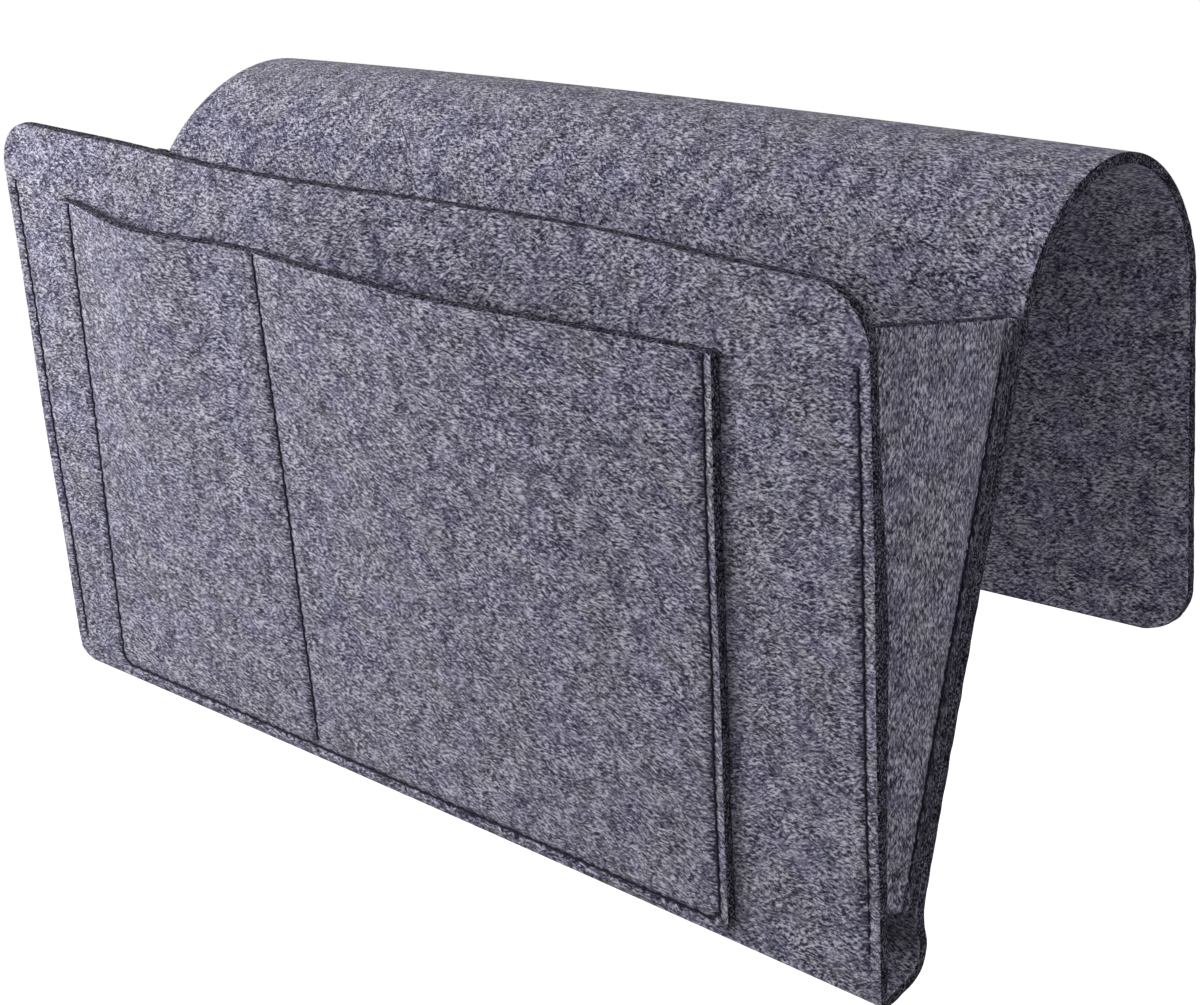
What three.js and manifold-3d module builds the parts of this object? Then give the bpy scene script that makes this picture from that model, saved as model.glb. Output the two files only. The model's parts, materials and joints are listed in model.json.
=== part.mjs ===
// Bedside caddy of thick grey felt.
// One long strip of felt makes the front panel, the narrow base, the back panel, the arch that
// sits over the edge of a bed, and the tail that hangs behind it. Two V gussets close the sides,
// a divided patch pocket is sewn to the front, and rows of lockstitch hold the pieces together.
// Millimetres. +X is to the right seen from the front, +Y points to the bed, +Z is up.
// The origin is under the crown of the arch, where the caddy rests on what it hangs over.

import * as THREE from 'three';
import { mergeVertices } from 'three/addons/utils/BufferGeometryUtils.js';
import Module from 'manifold-3d';

const wasm = await Module();
wasm.setup();

// Felt, and the clearance between layers that lie on each other
const FELT = 3;
const FIT_GAP = 0.3;

// The long strip, in the order in which it is folded; angles in degrees
const WIDTH = 320;
const FRONT_HEIGHT = 178;
const FRONT_LEAN = 5.2;
const BASE_RUN = 10;
const BASE_RISE = 12;
const BASE_TURN_RADIUS = 7;
const BASE_OVERTURN = 24;
const KICK_RADIUS = 15;
const BACK_LENGTH = 133.5;
const BACK_LEAN = 12.8;
const ARCH_RADIUS = 37.7;
const ARCH_SKEW = 1.25;
const TAIL_LENGTH = 97.5;
const TAIL_FLARE = 4;
const CORNER_RADIUS = 15;

// How far the front panel swings in when the mouth is pressed shut
const MOUTH_CLOSES = 15;

// V gussets: heights are measured up the front panel
const GUSSET_LOW = 18;
const GUSSET_HIGH = 167;
const GUSSET_SLOPE = 8;
const GUSSET_FLANGE = 5.5;
const GUSSET_BEND = 0.6;

// Patch pocket, in the front panel's own width and height
const POCKET_LEFT = -130;
const POCKET_WIDTH = 245.7;
const POCKET_SLANT = 7;
const POCKET_DIVIDER = -39.7;
const POCKET_FOOT = 2;
const POCKET_HEIGHT = 153.8;
const POCKET_CORNER = 3.5;
const POCKET_GAPE = 10;
const POCKET_SWELL = 1.3;
const POCKET_TAPER = 1.5;

// Rows of stitches and the channels that they pull into the felt
const THREAD = 0.9;
const CHANNEL_WIDTH = 1.8;
const SEAM_MARGIN = 4.2;
const POCKET_MARGIN = 3.5;
const FOOT_MARGIN = 2.2;
const ROW_CORNER = 1.5;
const SEAM_FOOT = 9;
const SEAM_HEAD = 158;
const SEAM_END = 3;

// Smoothness of the curves
const ARC_STEP = 9;
const ARCH_COLUMNS = 4;
const NARROW_SAMPLES = 8;
const WIDE_SAMPLES = 12;
const POCKET_ROWS = 8;
const WELD = 1e-4;

// Sizes that follow from the ones above
const EDGE = WIDTH / 2;
const HALF = FELT / 2;
const CHANNEL_DEPTH = THREAD + FIT_GAP;
const STITCH_X = EDGE - SEAM_MARGIN;
const POCKET_RIGHT = POCKET_LEFT + POCKET_WIDTH;
const POCKET_TOP = POCKET_FOOT + POCKET_HEIGHT;
const SEWN_FOOT = POCKET_FOOT + FOOT_MARGIN;
const LAYER = FELT + FIT_GAP;
const CUT_MARGIN = 1;

const rad = THREE.MathUtils.degToRad;

// Felt is melange grey, the thread dark navy
const FELT_COLOUR = 0x767382;
const SHADED_FELT_COLOUR = 0x65636f;
const THREAD_COLOUR = 0x23212b;

function felt(colour) {
  return new THREE.MeshStandardMaterial({ color: colour, roughness: 0.95, metalness: 0 });
}

function yarn() {
  return new THREE.MeshStandardMaterial({ color: THREAD_COLOUR, roughness: 0.7, metalness: 0 });
}

// Joining and cutting closed solids

function toSolid(geometry) {
  const bare = geometry.clone();
  bare.deleteAttribute('normal');
  bare.deleteAttribute('uv');
  const merged = mergeVertices(bare, WELD);
  const vertProperties = new Float32Array(merged.attributes.position.array);
  const triVerts = new Uint32Array(merged.index.array);
  return new wasm.Manifold(new wasm.Mesh({ numProp: 3, vertProperties, triVerts }));
}

function toGeometry(solid) {
  const mesh = solid.getMesh();
  const geometry = new THREE.BufferGeometry();
  geometry.setAttribute('position', new THREE.BufferAttribute(mesh.vertProperties, 3));
  geometry.setIndex(new THREE.BufferAttribute(mesh.triVerts, 1));
  geometry.computeVertexNormals();
  return geometry;
}

function cut(geometry, ...tools) {
  return toGeometry(tools.reduce((solid, tool) => solid.subtract(toSolid(tool)), toSolid(geometry)));
}

function common(geometry, other) {
  return toGeometry(toSolid(geometry).intersect(toSolid(other)));
}

// A pen walks along a line in a plane and notes stations: a place and a heading in degrees

class Pen {
  constructor(place, heading) {
    this.place = place.clone();
    this.heading = heading;
  }

  station() {
    return { place: this.place.clone(), heading: this.heading };
  }

  ahead(distance) {
    const angle = rad(this.heading);
    const step = new THREE.Vector2(Math.cos(angle), Math.sin(angle)).multiplyScalar(distance);
    this.place.add(step);
  }

  straight(length) {
    const from = this.station();
    this.ahead(length);
    return [from, this.station()];
  }

  // A positive turn goes left, a negative one right
  arc(radius, turn) {
    const stations = [this.station()];
    const steps = Math.ceil(Math.abs(turn) / ARC_STEP);
    const bend = turn / steps;
    const chord = 2 * radius * Math.sin(rad(Math.abs(bend) / 2));
    for (let step = 0; step < steps; step += 1) {
      this.heading += bend / 2;
      this.ahead(chord);
      this.heading += bend / 2;
      stations.push(this.station());
    }
    return stations;
  }
}

// A band of even width along a row of stations
function ribbon(stations, width) {
  const side = (sign) => stations.map(({ place, heading }) => {
    const across = rad(heading + 90);
    const offset = new THREE.Vector2(Math.cos(across), Math.sin(across));
    return place.clone().addScaledVector(offset, (sign * width) / 2);
  });
  return new THREE.Shape([...side(1), ...side(-1).reverse()]);
}

function extrude(shape, depth, steps = 1) {
  return new THREE.ExtrudeGeometry(shape, { depth, steps, bevelEnabled: false });
}

// A side profile, drawn with Y and Z, carried across the whole width
const SIDE_VIEW = new THREE.Matrix4().makeBasis(
  new THREE.Vector3(0, 1, 0),
  new THREE.Vector3(0, 0, 1),
  new THREE.Vector3(1, 0, 0),
);

function acrossWidth(profile) {
  return extrude(profile, WIDTH).translate(0, 0, -EDGE).applyMatrix4(SIDE_VIEW);
}

// A front outline, drawn with X and Z, made as thick as the two Y values say
const FRONT_VIEW = new THREE.Matrix4().makeBasis(
  new THREE.Vector3(1, 0, 0),
  new THREE.Vector3(0, 0, 1),
  new THREE.Vector3(0, -1, 0),
);

function slab(outline, nearY, farY) {
  return extrude(outline, farY - nearY).translate(0, 0, -farY).applyMatrix4(FRONT_VIEW);
}

// A rectangle whose two corners at one end are round
function tongue(left, right, foot, head, radius) {
  const way = Math.sign(head - foot);
  const shape = new THREE.Shape();
  shape.moveTo(left, foot);
  shape.lineTo(left, head - way * radius);
  shape.absarc(left + radius, head - way * radius, radius, Math.PI, (way * Math.PI) / 2, way > 0);
  shape.lineTo(right - radius, head);
  shape.absarc(right - radius, head - way * radius, radius, (way * Math.PI) / 2, 0, way > 0);
  shape.lineTo(right, foot);
  shape.closePath();
  return shape;
}

// Where the strip goes: the pen starts on the crease between front panel and base, and the
// stations of each run are kept. The crease leaves room for the front panel to swing in.

const creaseAngle = 90 + FRONT_LEAN - MOUTH_CLOSES - BASE_RISE;
const creaseRoom = HALF / Math.tan(rad(creaseAngle) / 2) + FIT_GAP;
const backHeading = 90 - BACK_LEAN;
const kickHeading = 90 + BASE_OVERTURN;
const tailHeading = TAIL_FLARE - 90;

const pen = new Pen(new THREE.Vector2(0, 0), BASE_RISE);
pen.ahead(creaseRoom);
const baseRun = [
  ...pen.straight(BASE_RUN - creaseRoom),
  ...pen.arc(BASE_TURN_RADIUS, kickHeading - BASE_RISE).slice(1),
  ...pen.arc(KICK_RADIUS, backHeading - kickHeading).slice(1),
];
pen.ahead(FIT_GAP);
const backFoot = pen.station();
pen.straight(BACK_LENGTH);
pen.ahead(FIT_GAP);
const archFoot = pen.station();

// The arch is rolled a little askew: its right end stands higher, and the tail hangs askew. A
// place on the flat strip, x across and s along from the foot of the arch, is wound on a
// cylinder whose axis is turned by the skew in the plane of the back panel. No length on the
// felt changes. The strip stays flat for a skew room before the roll and after it.

const skew = rad(ARCH_SKEW);
const skewRoom = EDGE * Math.sin(skew);
const archTurn = rad(backHeading - tailHeading);
const rollLength = ARCH_RADIUS * archTurn;
const archLength = (rollLength + 2 * skewRoom) / Math.cos(skew);

const acrossStrip = new THREE.Vector3(1, 0, 0);
const upBack = new THREE.Vector3(0, Math.cos(rad(backHeading)), Math.sin(rad(backHeading)));
const toBed = acrossStrip.clone().cross(upBack).negate();
const rollAxis = acrossStrip.clone().applyAxisAngle(toBed, -skew);
const rollClimb = upBack.clone().applyAxisAngle(toBed, -skew);

function rolled(x, s, outward) {
  const round = s * Math.cos(skew) - x * Math.sin(skew) - skewRoom;
  const turn = THREE.MathUtils.clamp(round / ARCH_RADIUS, 0, archTurn);
  const before = skewRoom + Math.min(round, 0);
  const after = Math.max(round - rollLength, 0);
  const radius = ARCH_RADIUS + outward;
  return new THREE.Vector3(0, archFoot.place.x, archFoot.place.y)
    .addScaledVector(rollAxis, x * Math.cos(skew) + s * Math.sin(skew))
    .addScaledVector(rollClimb, before + radius * Math.sin(turn) + after * Math.cos(archTurn))
    .addScaledVector(toBed, ARCH_RADIUS - radius * Math.cos(turn) + after * Math.sin(archTurn));
}

const crown = rolled(0, (ARCH_RADIUS * rad(backHeading) + skewRoom) / Math.cos(skew), 0);
const tailHead = rolled(0, archLength + FIT_GAP, 0);
const tailUp = rolled(0, archLength, 0).sub(tailHead).normalize();
const tailAcross = rolled(1, archLength + FIT_GAP, 0).sub(tailHead).normalize();

// Frames of the three flat panels: X across, Z up the panel, Y square to it towards the bed

function panelFrame(place, across, up) {
  const frame = new THREE.Group();
  frame.position.copy(place);
  frame.applyQuaternion(new THREE.Quaternion().setFromRotationMatrix(
    new THREE.Matrix4().makeBasis(across, up.clone().cross(across), up),
  ));
  frame.updateMatrix();
  return frame;
}

const upFront = new THREE.Vector3(0, -Math.sin(rad(FRONT_LEAN)), Math.cos(rad(FRONT_LEAN)));
const frontFrame = panelFrame(new THREE.Vector3(), acrossStrip, upFront);
const backFrame = panelFrame(
  new THREE.Vector3(0, backFoot.place.x, backFoot.place.y), acrossStrip, upBack,
);
const tailFrame = panelFrame(tailHead, tailAcross, tailUp);
const sideFrame = new THREE.Group();

// Gusset sections lie in slanted planes that run from the front panel to the back panel

const frontNormal = new THREE.Vector2(Math.cos(rad(FRONT_LEAN)), Math.sin(rad(FRONT_LEAN)));
const frontUp = new THREE.Vector2(-frontNormal.y, frontNormal.x);
const backNormal = new THREE.Vector2(Math.cos(rad(BACK_LEAN)), -Math.sin(rad(BACK_LEAN)));
const backUp = new THREE.Vector2(-backNormal.y, backNormal.x);
const slopeWay = new THREE.Vector2(Math.cos(rad(GUSSET_SLOPE)), -Math.sin(rad(GUSSET_SLOPE)));

function frontSeat(height) {
  return frontNormal.clone().multiplyScalar(HALF + FIT_GAP).addScaledVector(frontUp, height);
}

function gussetDepth(height) {
  const toBack = backFoot.place.clone().sub(frontSeat(height)).dot(backNormal);
  return (toBack - HALF - FIT_GAP) / slopeWay.dot(backNormal);
}

function backSeatHeight(height) {
  const rear = frontSeat(height).addScaledVector(slopeWay, gussetDepth(height));
  return rear.sub(backFoot.place).dot(backUp);
}

// Rows of stitches, each as stations in the plane of the panel that it runs on

function upright(x, foot, head) {
  return new Pen(new THREE.Vector2(x, foot), 90).straight(head - foot);
}

// Down the left side of the pocket, along its foot and up the right side
function pocketEdgeRow() {
  const left = POCKET_LEFT + POCKET_MARGIN;
  const right = POCKET_RIGHT - POCKET_MARGIN;
  const head = POCKET_TOP - SEAM_END;
  const row = new Pen(new THREE.Vector2(left, head), -90);
  return [
    ...row.straight(head - SEWN_FOOT - ROW_CORNER),
    ...row.arc(ROW_CORNER, 90).slice(1),
    ...row.straight(right - left - 2 * ROW_CORNER).slice(1),
    ...row.arc(ROW_CORNER, 90).slice(1),
    ...row.straight(head - SEWN_FOOT - ROW_CORNER).slice(1),
  ];
}

const pocketDividerRow = upright(
  POCKET_DIVIDER,
  SEWN_FOOT + CHANNEL_WIDTH / 2 + THREAD,
  POCKET_TOP - SEAM_END,
);
const pocketRows = { pocket_edge: pocketEdgeRow(), pocket_divider: pocketDividerRow };
const backSeamFoot = SEAM_END;
const backSeamHead = Math.min(backSeatHeight(GUSSET_HIGH), BACK_LENGTH) - SEAM_END;

// A row of thread lies flush in its channel. The face that it is sewn to is at faceY, and
// outward is -1 on a face that looks to the front and 1 on one that looks to the bed.

function longer(stations, extra) {
  const first = stations[0];
  const last = stations[stations.length - 1];
  const start = new Pen(first.place, first.heading);
  start.ahead(-extra);
  const end = new Pen(last.place, last.heading);
  end.ahead(extra);
  return [start.station(), ...stations.slice(1, -1), end.station()];
}

function layer(shape, faceY, outward, deep, proud) {
  const inner = faceY - outward * deep;
  const outer = faceY + outward * proud;
  return slab(shape, Math.min(inner, outer), Math.max(inner, outer));
}

function channel(stations, faceY, outward) {
  const trough = ribbon(longer(stations, FIT_GAP), CHANNEL_WIDTH);
  return layer(trough, faceY, outward, CHANNEL_DEPTH, CUT_MARGIN);
}

function threadRow(stations, faceY, outward) {
  return layer(ribbon(stations, THREAD), faceY, outward, THREAD, 0);
}

// The left side of the pocket slants: its foot stands further out than its mouth
function slanted(geometry) {
  const vertices = geometry.attributes.position;
  for (let index = 0; index < vertices.count; index += 1) {
    const x = vertices.getX(index);
    const drop = (POCKET_TOP - vertices.getZ(index)) / POCKET_HEIGHT;
    const outer = Math.max(0, POCKET_DIVIDER - x) / (POCKET_DIVIDER - POCKET_LEFT);
    vertices.setX(index, x - POCKET_SLANT * drop * outer);
  }
  return geometry;
}

function pocketChannels(faceY, outward) {
  return Object.values(pocketRows).map((row) => slanted(channel(row, faceY, outward)));
}

// Felt pieces

function frontPanel() {
  const head = FRONT_HEIGHT - HALF;
  const side = new THREE.Shape();
  side.moveTo(HALF, 0);
  side.lineTo(HALF, head);
  side.lineTo(-HALF, head);
  side.lineTo(-HALF, 0);
  side.absarc(0, 0, HALF, Math.PI, 2 * Math.PI, false);
  const outline = tongue(-EDGE, EDGE, -FELT, head, CORNER_RADIUS);
  const panel = common(acrossWidth(side), slab(outline, -FELT, FELT));
  return cut(
    panel,
    channel(upright(-STITCH_X, SEAM_FOOT, SEAM_HEAD), -HALF, -1),
    channel(upright(STITCH_X, SEAM_FOOT, SEAM_HEAD), -HALF, -1),
    ...pocketChannels(HALF, 1),
  );
}

function backPanel() {
  const outline = new THREE.Shape([
    new THREE.Vector2(-EDGE, 0),
    new THREE.Vector2(EDGE, 0),
    new THREE.Vector2(EDGE, BACK_LENGTH),
    new THREE.Vector2(-EDGE, BACK_LENGTH),
  ]);
  return cut(
    slab(outline, -HALF, HALF),
    channel(upright(-STITCH_X, backSeamFoot, backSeamHead), HALF, 1),
    channel(upright(STITCH_X, backSeamFoot, backSeamHead), HALF, 1),
  );
}

function saddleArch() {
  const rows = Math.ceil(archLength / (ARCH_RADIUS * rad(ARC_STEP)));
  const geometry = new THREE.BoxGeometry(WIDTH, FELT, archLength, ARCH_COLUMNS, 1, rows);
  const vertices = geometry.attributes.position;
  for (let index = 0; index < vertices.count; index += 1) {
    const along = vertices.getZ(index) + archLength / 2;
    const place = rolled(vertices.getX(index), along, -vertices.getY(index));
    vertices.setXYZ(index, place.x, place.y, place.z);
  }
  return toGeometry(toSolid(geometry));
}

function tailFlap() {
  return slab(tongue(-EDGE, EDGE, 0, -TAIL_LENGTH, CORNER_RADIUS), -HALF, HALF);
}

// The gusset's section is a channel that opens outwards: a web between two flanges whose cut
// edges lie flush with the edges of the panels. It is extruded straight up at its full depth,
// and each height is then leant back and narrowed to the room between the panels.
function gusset(side) {
  const deepest = gussetDepth(GUSSET_HIGH);
  const frontFlange = FELT / slopeWay.dot(frontNormal);
  const backFlange = FELT / slopeWay.dot(backNormal);
  const web = EDGE - GUSSET_FLANGE;
  const inside = web - FELT;
  const outerBend = GUSSET_BEND + FELT;
  const section = new THREE.Shape();
  section.moveTo(side * EDGE, 0);
  section.lineTo(side * EDGE, frontFlange);
  section.lineTo(side * (web + GUSSET_BEND), frontFlange);
  section.quadraticCurveTo(side * web, frontFlange, side * web, frontFlange + GUSSET_BEND);
  section.lineTo(side * web, deepest - backFlange - GUSSET_BEND);
  section.quadraticCurveTo(
    side * web, deepest - backFlange,
    side * (web + GUSSET_BEND), deepest - backFlange,
  );
  section.lineTo(side * EDGE, deepest - backFlange);
  section.lineTo(side * EDGE, deepest);
  section.lineTo(side * (inside + outerBend), deepest);
  section.quadraticCurveTo(side * inside, deepest, side * inside, deepest - outerBend);
  section.lineTo(side * inside, outerBend);
  section.quadraticCurveTo(side * inside, 0, side * (inside + outerBend), 0);
  section.closePath();

  const geometry = new THREE.ExtrudeGeometry(section, {
    depth: GUSSET_HIGH - GUSSET_LOW,
    curveSegments: 4,
    bevelEnabled: false,
  });
  const vertices = geometry.attributes.position;
  for (let index = 0; index < vertices.count; index += 1) {
    const height = GUSSET_LOW + vertices.getZ(index);
    const spare = deepest - gussetDepth(height);
    const across = vertices.getY(index);
    const reach = across > deepest / 2 ? across - spare : across;
    const place = frontSeat(height).addScaledVector(slopeWay, reach);
    vertices.setXYZ(index, vertices.getX(index), place.x, place.y);
  }

  const frontRow = upright(side * STITCH_X, GUSSET_LOW + SEAM_END, SEAM_HEAD);
  const backRow = upright(side * STITCH_X, backSeamFoot, backSeamHead);
  return cut(
    geometry,
    channel(frontRow, HALF + LAYER, 1).applyMatrix4(frontFrame.matrix),
    channel(backRow, -HALF - LAYER, -1).applyMatrix4(backFrame.matrix),
  );
}

// The pocket is sewn flat along its edges and its divider, and gapes between them at the mouth
function pocketBulge(x) {
  const left = POCKET_LEFT + POCKET_MARGIN;
  const right = POCKET_RIGHT - POCKET_MARGIN;
  if (x <= left || x >= right) {
    return 0;
  }
  const [from, to] = x < POCKET_DIVIDER ? [left, POCKET_DIVIDER] : [POCKET_DIVIDER, right];
  const share = (x - from) / (to - from);
  return POCKET_GAPE * Math.pow(Math.abs(Math.sin(Math.PI * share)), POCKET_SWELL);
}

function evenly(from, to, count) {
  return Array.from({ length: count }, (_, index) => from + ((to - from) * index) / count);
}

function frontPocket() {
  const left = POCKET_LEFT + POCKET_MARGIN;
  const right = POCKET_RIGHT - POCKET_MARGIN;
  const columns = [
    POCKET_LEFT,
    ...evenly(left, POCKET_DIVIDER, NARROW_SAMPLES),
    ...evenly(POCKET_DIVIDER, right, WIDE_SAMPLES),
    right,
    POCKET_RIGHT,
  ];
  const seat = -HALF - FIT_GAP;
  const inner = columns.map((x) => new THREE.Vector2(x, seat - pocketBulge(x)));
  const outer = columns.map((x) => new THREE.Vector2(x, seat - FELT - pocketBulge(x)));
  const mouth = new THREE.Shape([...outer, ...inner.reverse()]);

  const geometry = extrude(mouth, POCKET_HEIGHT, POCKET_ROWS).translate(0, 0, POCKET_FOOT);
  const vertices = geometry.attributes.position;
  for (let index = 0; index < vertices.count; index += 1) {
    const height = Math.max(0, vertices.getZ(index) - SEWN_FOOT) / (POCKET_TOP - SEWN_FOOT);
    const flattened = pocketBulge(vertices.getX(index)) * (1 - Math.pow(height, POCKET_TAPER));
    vertices.setY(index, vertices.getY(index) + flattened);
  }

  const outline = tongue(POCKET_LEFT, POCKET_RIGHT, POCKET_TOP + CUT_MARGIN, POCKET_FOOT, POCKET_CORNER);
  const rounded = common(geometry, slab(outline, seat - FELT - POCKET_GAPE - CUT_MARGIN, 0));
  return cut(slanted(rounded), ...pocketChannels(seat - FELT, -1));
}

// Assembly

const caddy = new THREE.Group();
caddy.add(frontFrame, backFrame, tailFrame, sideFrame);
caddy.position.set(0, -crown.y, HALF - crown.z);

function place(frame, name, geometry, material) {
  const mesh = new THREE.Mesh(geometry, material);
  mesh.name = name;
  frame.add(mesh);
}

place(frontFrame, 'front_panel', frontPanel(), felt(FELT_COLOUR));
place(frontFrame, 'front_pocket', frontPocket(), felt(FELT_COLOUR));
place(sideFrame, 'base_strip', acrossWidth(ribbon(baseRun, FELT)), felt(SHADED_FELT_COLOUR));
place(backFrame, 'back_panel', backPanel(), felt(SHADED_FELT_COLOUR));
place(sideFrame, 'saddle_arch', saddleArch(), felt(FELT_COLOUR));
place(tailFrame, 'tail_flap', tailFlap(), felt(SHADED_FELT_COLOUR));

for (const [hand, side] of [['left', -1], ['right', 1]]) {
  const x = side * STITCH_X;
  const backRow = upright(x, backSeamFoot, backSeamHead);
  const frontNeedle = threadRow(upright(x, SEAM_FOOT, SEAM_HEAD), -HALF, -1);
  const frontBobbin = threadRow(upright(x, GUSSET_LOW + SEAM_END, SEAM_HEAD), HALF + LAYER, 1);
  place(sideFrame, `gusset_${hand}`, gusset(side), felt(SHADED_FELT_COLOUR));
  place(frontFrame, `front_seam_${hand}_needle_thread`, frontNeedle, yarn());
  place(frontFrame, `front_seam_${hand}_bobbin_thread`, frontBobbin, yarn());
  place(backFrame, `back_seam_${hand}_needle_thread`, threadRow(backRow, HALF, 1), yarn());
  place(backFrame, `back_seam_${hand}_bobbin_thread`, threadRow(backRow, -HALF - LAYER, -1), yarn());
}

for (const [seam, row] of Object.entries(pocketRows)) {
  const needle = slanted(threadRow(row, -HALF - LAYER, -1));
  place(frontFrame, `${seam}_needle_thread`, needle, yarn());
  place(frontFrame, `${seam}_bobbin_thread`, slanted(threadRow(row, HALF, 1)), yarn());
}

export default caddy;
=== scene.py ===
# %% [markdown]
# # A felt bedside caddy
# The caddy is folded from one long strip of thick grey felt. The strip makes the front panel, a
# narrow base, the back panel, the arch that sits over the edge of a bed, and a tail behind it.
# Two gussets close the sides, and a divided pocket is sewn to the front.
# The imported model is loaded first: it says where every piece is, in metres, and what moves.

# %% Load the frame
import json
import math

import bpy
import numpy as np
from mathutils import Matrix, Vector


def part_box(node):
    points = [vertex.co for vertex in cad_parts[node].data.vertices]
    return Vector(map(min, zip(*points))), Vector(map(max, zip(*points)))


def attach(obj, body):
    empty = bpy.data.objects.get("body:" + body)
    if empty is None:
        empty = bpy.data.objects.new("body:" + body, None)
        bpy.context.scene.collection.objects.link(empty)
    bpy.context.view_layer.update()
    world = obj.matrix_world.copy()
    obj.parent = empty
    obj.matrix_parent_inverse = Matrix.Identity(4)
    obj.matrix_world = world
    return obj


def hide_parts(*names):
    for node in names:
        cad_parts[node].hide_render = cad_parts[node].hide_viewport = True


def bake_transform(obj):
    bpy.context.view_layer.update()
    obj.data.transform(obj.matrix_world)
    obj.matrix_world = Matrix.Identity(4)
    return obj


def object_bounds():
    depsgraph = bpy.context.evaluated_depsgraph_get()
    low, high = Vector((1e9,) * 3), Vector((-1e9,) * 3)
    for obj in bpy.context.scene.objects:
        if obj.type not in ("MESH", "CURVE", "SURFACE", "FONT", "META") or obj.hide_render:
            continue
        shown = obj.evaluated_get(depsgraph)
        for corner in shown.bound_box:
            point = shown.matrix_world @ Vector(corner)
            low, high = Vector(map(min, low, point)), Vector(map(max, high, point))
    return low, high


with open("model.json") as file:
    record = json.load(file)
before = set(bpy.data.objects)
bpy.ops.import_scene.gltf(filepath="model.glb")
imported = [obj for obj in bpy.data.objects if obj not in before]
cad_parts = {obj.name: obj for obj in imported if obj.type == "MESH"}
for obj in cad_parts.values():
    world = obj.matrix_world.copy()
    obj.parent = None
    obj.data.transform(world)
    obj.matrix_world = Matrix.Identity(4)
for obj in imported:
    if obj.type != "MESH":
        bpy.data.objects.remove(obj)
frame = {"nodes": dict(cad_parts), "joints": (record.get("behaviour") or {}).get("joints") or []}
cad_low, cad_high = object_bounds()

MM = 0.001
joints = {joint["name"]: joint for joint in frame["joints"]}
crease = np.array(joints["mouth_fold"]["pos_m"])
print("the caddy measures", [round(side / MM, 1) for side in cad_high - cad_low], "mm")

# %% [markdown]
# ## Camera
# The camera stands to the right of the caddy and a little above it. A long lens keeps the
# perspective gentle, as in a catalogue picture. It has no roll, so two angles turn it: how far
# it looks down, and how far round the caddy it has walked. Its place is measured from the crease
# at the foot of the front panel.

# %% Place the camera
CAMERA_FROM_CREASE = (0.4457, -0.4152, 0.2945)
CAMERA_ROUND = math.radians(42.37)
CAMERA_DOWN = math.radians(18.83)
LENS_MM = 71.0
SENSOR_MM = 36.0

camera = bpy.data.objects.new("camera", bpy.data.cameras.new("camera"))
camera.data.lens = LENS_MM
camera.data.sensor_width = SENSOR_MM
camera.location = crease + CAMERA_FROM_CREASE
camera.rotation_euler = (math.pi / 2 - CAMERA_DOWN, 0, CAMERA_ROUND)
bpy.context.scene.collection.objects.link(camera)
bpy.context.scene.camera = camera
print("camera at", [round(part, 3) for part in camera.location], "with a", LENS_MM, "mm lens")

# %% [markdown]
# ## Nodes
# Every material and every Geometry Nodes tree below is a graph. One helper adds a node, sets its
# options and fills its inputs: a value is written into the socket, and another socket is linked.

# %% A helper that adds one node
def add_node(tree, kind, inputs=None, **options):
    node = tree.nodes.new(kind)
    for option, value in options.items():
        setattr(node, option, value)
    for name, value in (inputs or {}).items():
        if isinstance(value, bpy.types.NodeSocket):
            tree.links.new(value, node.inputs[name])
        else:
            node.inputs[name].default_value = value
    return node


def math_node(tree, operation, first, second=0.0):
    return add_node(tree, "ShaderNodeMath", {0: first, 1: second}, operation=operation).outputs[0]


def srgb(red, green, blue):
    """A colour as a picture editor names it, 0 to 255, made linear for the shader."""
    shares = [value / 255 for value in (red, green, blue)]
    return (*[s / 12.92 if s <= 0.04045 else ((s + 0.055) / 1.055) ** 2.4 for s in shares], 1.0)


print("mid grey in the shader:", [round(value, 3) for value in srgb(128, 128, 128)])

# %% [markdown]
# ## Light
# A product picture of this kind has a white ground and soft light. The world is a weak, even dome
# of light. A soft lamp stands near the left of the front panel, so that the panel fades from left
# to right, and a second one high on the right lights the gusset and the arch. The dome looks white
# to the camera only: the Light Path node tells what is seen directly from what lights the felt.

# %% World and lamps
DOME_LEVEL = 0.24
LAMPS = {"key_lamp": {"watts": 2.3, "size": 0.3, "place": Vector((-0.28, -0.38, 0.12)),
                      "aim": Vector((-0.12, -0.09, -0.09))},
         "fill_lamp": {"watts": 1.9, "size": 0.5, "place": Vector((0.6, -0.2, 0.45)),
                       "aim": Vector((0.16, -0.07, -0.1))}}


def seen_directly(tree):
    """1 for what the camera sees directly, in a mirror or through glass, and 0 for lighting."""
    path = add_node(tree, "ShaderNodeLightPath").outputs
    mirrored = math_node(tree, "MAXIMUM", path["Is Camera Ray"], path["Is Glossy Ray"])
    return math_node(tree, "MAXIMUM", mirrored, path["Is Transmission Ray"])


def light_the_world():
    world = bpy.data.worlds.new("dome")
    world.use_nodes = True
    tree = world.node_tree
    tree.nodes.clear()
    level = add_node(tree, "ShaderNodeMapRange",
                     {"Value": seen_directly(tree), "To Min": DOME_LEVEL, "To Max": 1.0})
    dome = add_node(tree, "ShaderNodeBackground", {"Color": (1, 1, 1, 1), "Strength": level.outputs[0]})
    add_node(tree, "ShaderNodeOutputWorld", {"Surface": dome.outputs[0]})
    bpy.context.scene.world = world


def make_lamp(name, watts, size, place, aim):
    lamp = bpy.data.objects.new(name, bpy.data.lights.new(name, "AREA"))
    lamp.data.energy = watts
    lamp.data.size = size
    lamp.location = place
    lamp.rotation_mode = "QUATERNION"
    lamp.rotation_quaternion = (aim - place).to_track_quat("-Z", "Y")
    bpy.context.scene.collection.objects.link(lamp)


light_the_world()
for name, lamp in LAMPS.items():
    make_lamp(name, **lamp)
print(len(LAMPS), "lamps and a dome at", DOME_LEVEL)

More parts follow.
